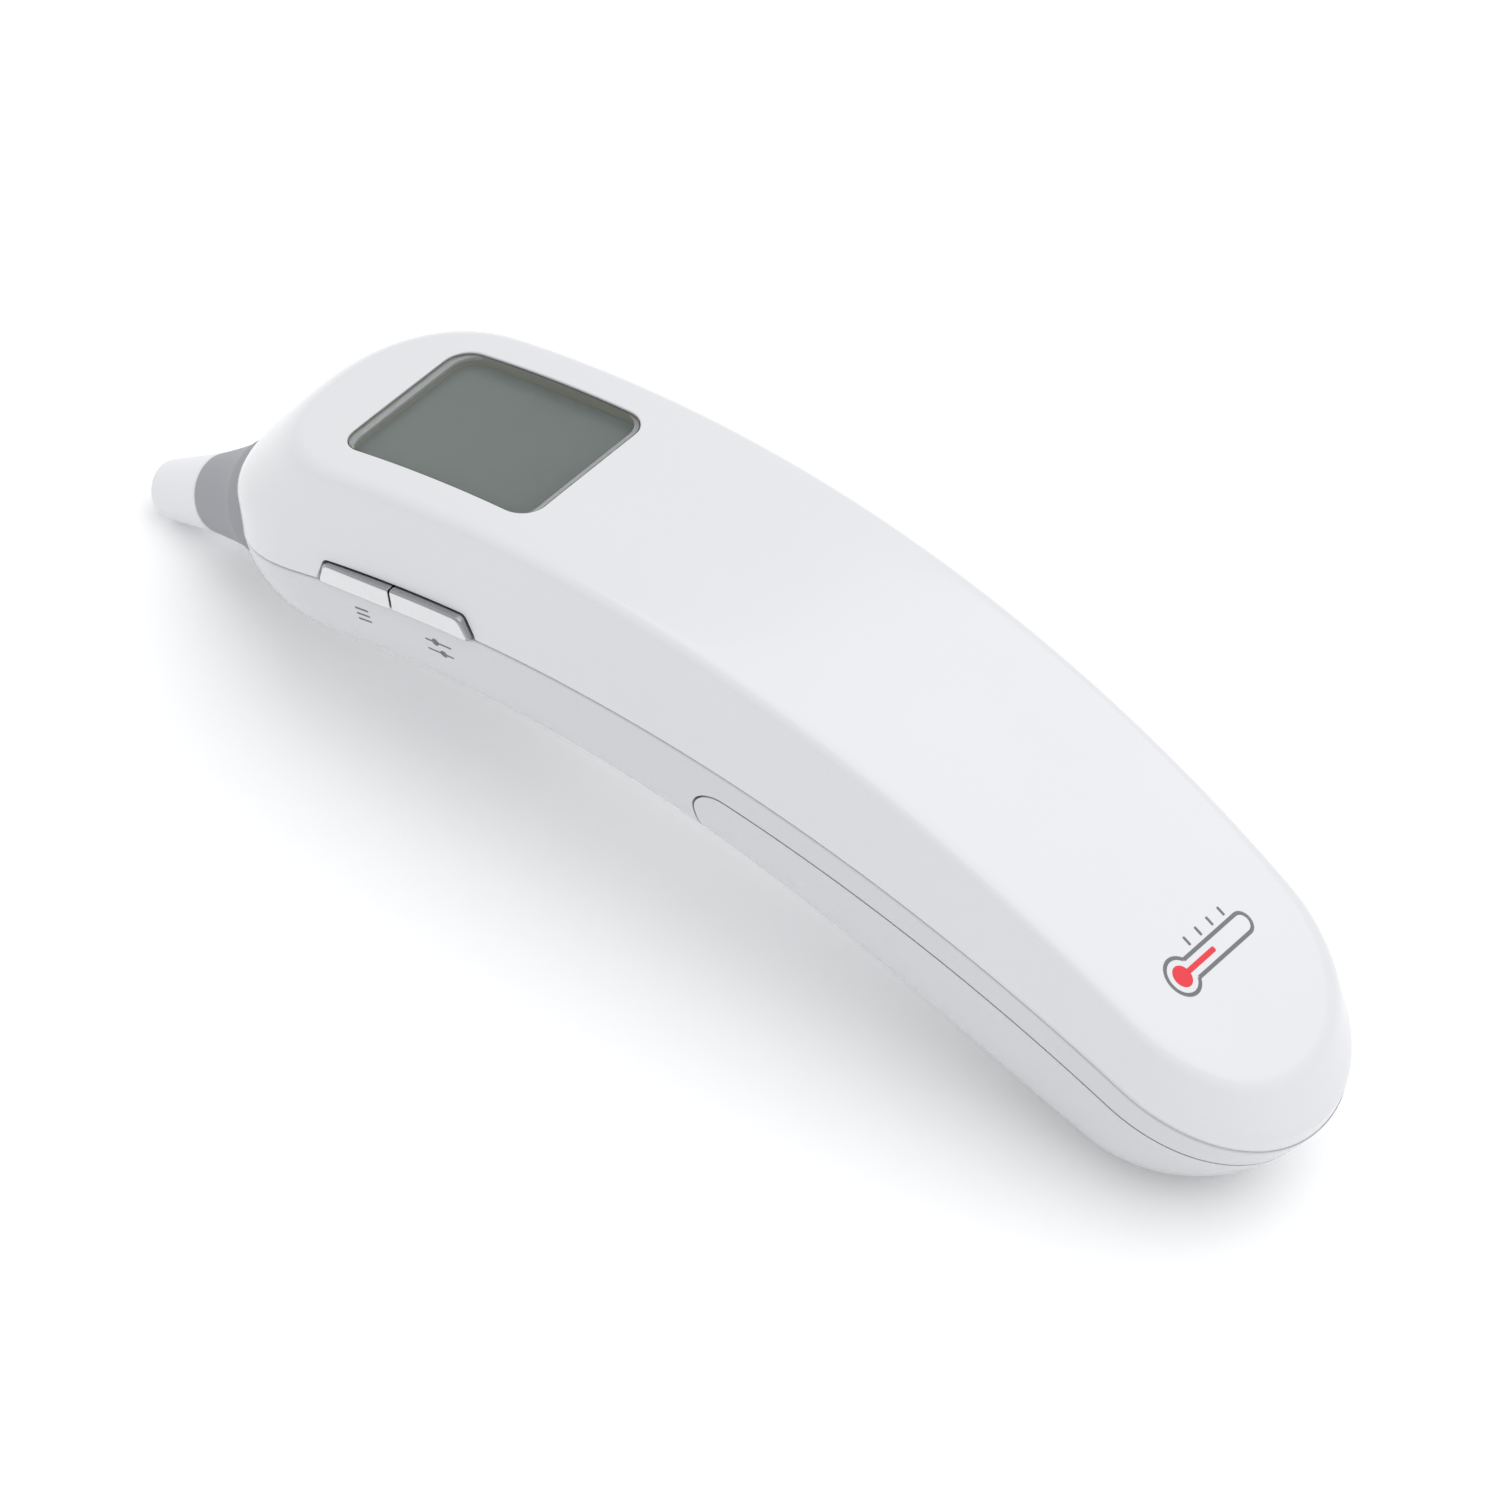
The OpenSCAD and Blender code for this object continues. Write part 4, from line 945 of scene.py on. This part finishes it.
def printed(name, outlines, origin_of, direction, tree, mat):
    """A printed mark on the case, with its faces turned outwards."""
    points, faces = project(outlines, origin_of, direction, tree)
    obj = make(name, points, faces, sort_normals=False)
    bm = bmesh.new()
    bm.from_mesh(obj.data)
    for f in bm.faces:
        if f.normal.dot(direction) > 0:
            f.normal_flip()
    bm.to_mesh(obj.data)
    bm.free()
    return finish_piece(obj, mat, "root")


def on_side(at, n):
    """Start points beside the case for a mark at the distance at along the arc and the height n."""
    return lambda p: place(at + p[0], n + p[1], -30.0)


def on_top(at, y):
    """Start points over the top face for a mark that reads from side to side."""
    return lambda p: place(at - p[1], 30.0, y + p[0])


side_tree, top_tree = bottom_was[0], top_was[0]
across = Vector((0, 1, 0))
bars = [bar(0, k * 0.72, 1.8, 0.26) for k in (-1, 0, 1)]
printed("memory_mark", bars, on_side(23.7, -2.8), across, side_tree, print_grey)
knobs = ((-0.4, 0.66), (0.4, -0.66))
sliders = [bar(0, n, 3.5, 0.24) for _, n in knobs] + [circle(x, n, 0.46)[:-1] for x, n in knobs]
printed("set_mark", sliders, on_side(34.0, -3.3), across, side_tree, print_grey)

MARK_AT = 118.2
down = Vector((-math.sin(float(turn(MARK_AT))), 0, -math.cos(float(turn(MARK_AT)))))
BULB_AT, BULB_R, STEM_FROM, STEM_TO, STEM_R = -4.6, 1.7, -3.2, 5.0, 0.95
LINE_W = 0.36
stem = [(STEM_FROM, -STEM_R), (STEM_TO, -STEM_R)]
stem += [(STEM_TO + STEM_R * math.sin(t), -STEM_R * math.cos(t)) for t in np.linspace(0, math.pi, 13)[1:-1]]
stem += [(STEM_TO, STEM_R), (STEM_FROM, STEM_R)]
bulb = [(BULB_AT + BULB_R * math.cos(t), BULB_R * math.sin(t)) for t in np.linspace(0.6, 2 * math.pi - 0.6, 40)]
ticks = [bar(x, 1.9, 0.3, 0.9) for x in (-1.4, 0.4, 2.2, 4.0)]
outline = strip(stem, LINE_W) + strip(bulb, LINE_W) + ticks
printed("top_mark_outline", outline, on_top(MARK_AT, 0.0), down, top_tree, print_grey)
filling = [circle(BULB_AT, 0, 1.0)[:-1], bar(-1.6, 0, 4.2, 0.5)]
printed("top_mark_fill", filling, on_top(MARK_AT, 0.0), down, top_tree, print_red)


# --- CAD nodes that keep their shape ------------------------------------------------------------------------
finishes = {
    "lcd_panel": lcd_glass, "lcd_frame": inner_plastic, "backlight": frosted, "zebra_strip": rubber,
    "main_board": board_green, "processor": chip, "board_parts": ceramic, "buzzer": chip,
    "memory_switch": steel, "set_switch": steel, "start_switch": steel, "probe_window": dark_window,
    "wave_guide": gold, "sensor_holder": inner_plastic, "thermopile_sensor": steel, "probe_seal": rubber,
    "sensor_lead": orange_wire, "battery_tray": inner_plastic, "battery_1": cell_material("battery_1", False),
    "battery_2": cell_material("battery_2", True), "positive_contact": steel, "negative_contact": steel,
    "contact_springs": steel, "bridge_contact": steel, "positive_lead": red_wire, "negative_lead": black_wire,
    "case_screws": steel, "board_screws": steel, "tray_screws": steel}
for name, mat in finishes.items():
    slots = nodes[name].data.materials
    if not slots:
        slots.append(mat)
    for k in range(len(slots)):
        slots[k] = mat


# --- floor, light and camera --------------------------------------------------------------------------------
floor_mat = moulded("floor", (0.95, 0.95, 0.955), rough=(0.75, 0.85), vary=0.004, grain=500.0, strength=0.02,
                    broad=8.0)
floor_shader = floor_mat.node_tree.nodes["Principled BSDF"]
floor_shader.inputs["Emission Color"].default_value = (1, 1, 1, 1)
floor_shader.inputs["Emission Strength"].default_value = 0.06
floor_mesh = bpy.data.meshes.new("floor")
floor_bm = bmesh.new()
bmesh.ops.create_grid(floor_bm, x_segments=8, y_segments=8, size=3)
floor_bm.to_mesh(floor_mesh)
floor_bm.free()
floor = bpy.data.objects.new("floor", floor_mesh)
bpy.context.scene.collection.objects.link(floor)
floor.data.materials.append(floor_mat)

world = bpy.data.worlds.new("studio")
bpy.context.scene.world = world
world.use_nodes = True
world.node_tree.nodes["Background"].inputs["Color"].default_value = (0.985, 0.99, 1.0, 1)
world.node_tree.nodes["Background"].inputs["Strength"].default_value = 0.88


def softbox(name, at, aim, size, power):
    """A rectangular area light that faces a point."""
    light = bpy.data.lights.new(name, "AREA")
    light.shape, light.size, light.size_y, light.energy = "RECTANGLE", size[0], size[1], power
    obj = bpy.data.objects.new(name, light)
    bpy.context.scene.collection.objects.link(obj)
    obj.location = at
    obj.rotation_euler = (Vector(aim) - Vector(at)).to_track_quat("-Z", "Y").to_euler()
    return obj


softbox("top_box", (0.3, 0.4, 1.4), (0, 0, 0), (2.0, 2.0), 12)


def aim_camera():
    """The photo's view, as angles, a distance and a lens round a point on the case."""
    azimuth, elevation, roll = math.radians(36.43), math.radians(44.79), math.radians(3.82)
    distance, focal_length = 0.9669, 232.85
    back = Vector((math.sin(azimuth) * math.cos(elevation), -math.cos(azimuth) * math.cos(elevation),
                   math.sin(elevation)))
    right = Vector((math.cos(azimuth), math.sin(azimuth), 0))
    up = back.cross(right)
    right_rolled = right * math.cos(roll) + up * math.sin(roll)
    up_rolled = up * math.cos(roll) - right * math.sin(roll)
    data = bpy.data.cameras.new("camera")
    obj = bpy.data.objects.new("camera", data)
    bpy.context.scene.collection.objects.link(obj)
    turned_to = Matrix((right_rolled, up_rolled, back)).transposed()
    target = Vector((ARC[0] + 1.7, 0, ARC[1] + 142.07)) * MM
    obj.matrix_world = Matrix.Translation(target + back * distance) @ turned_to.to_4x4()
    data.sensor_width = 36
    data.lens = focal_length
    data.shift_x, data.shift_y = -0.0121333, -0.0088667     # shares of the picture's width
    data.clip_start, data.clip_end = 0.05, 20
    bpy.context.scene.camera = obj


aim_camera()
bpy.context.scene.view_settings.view_transform = "Standard"
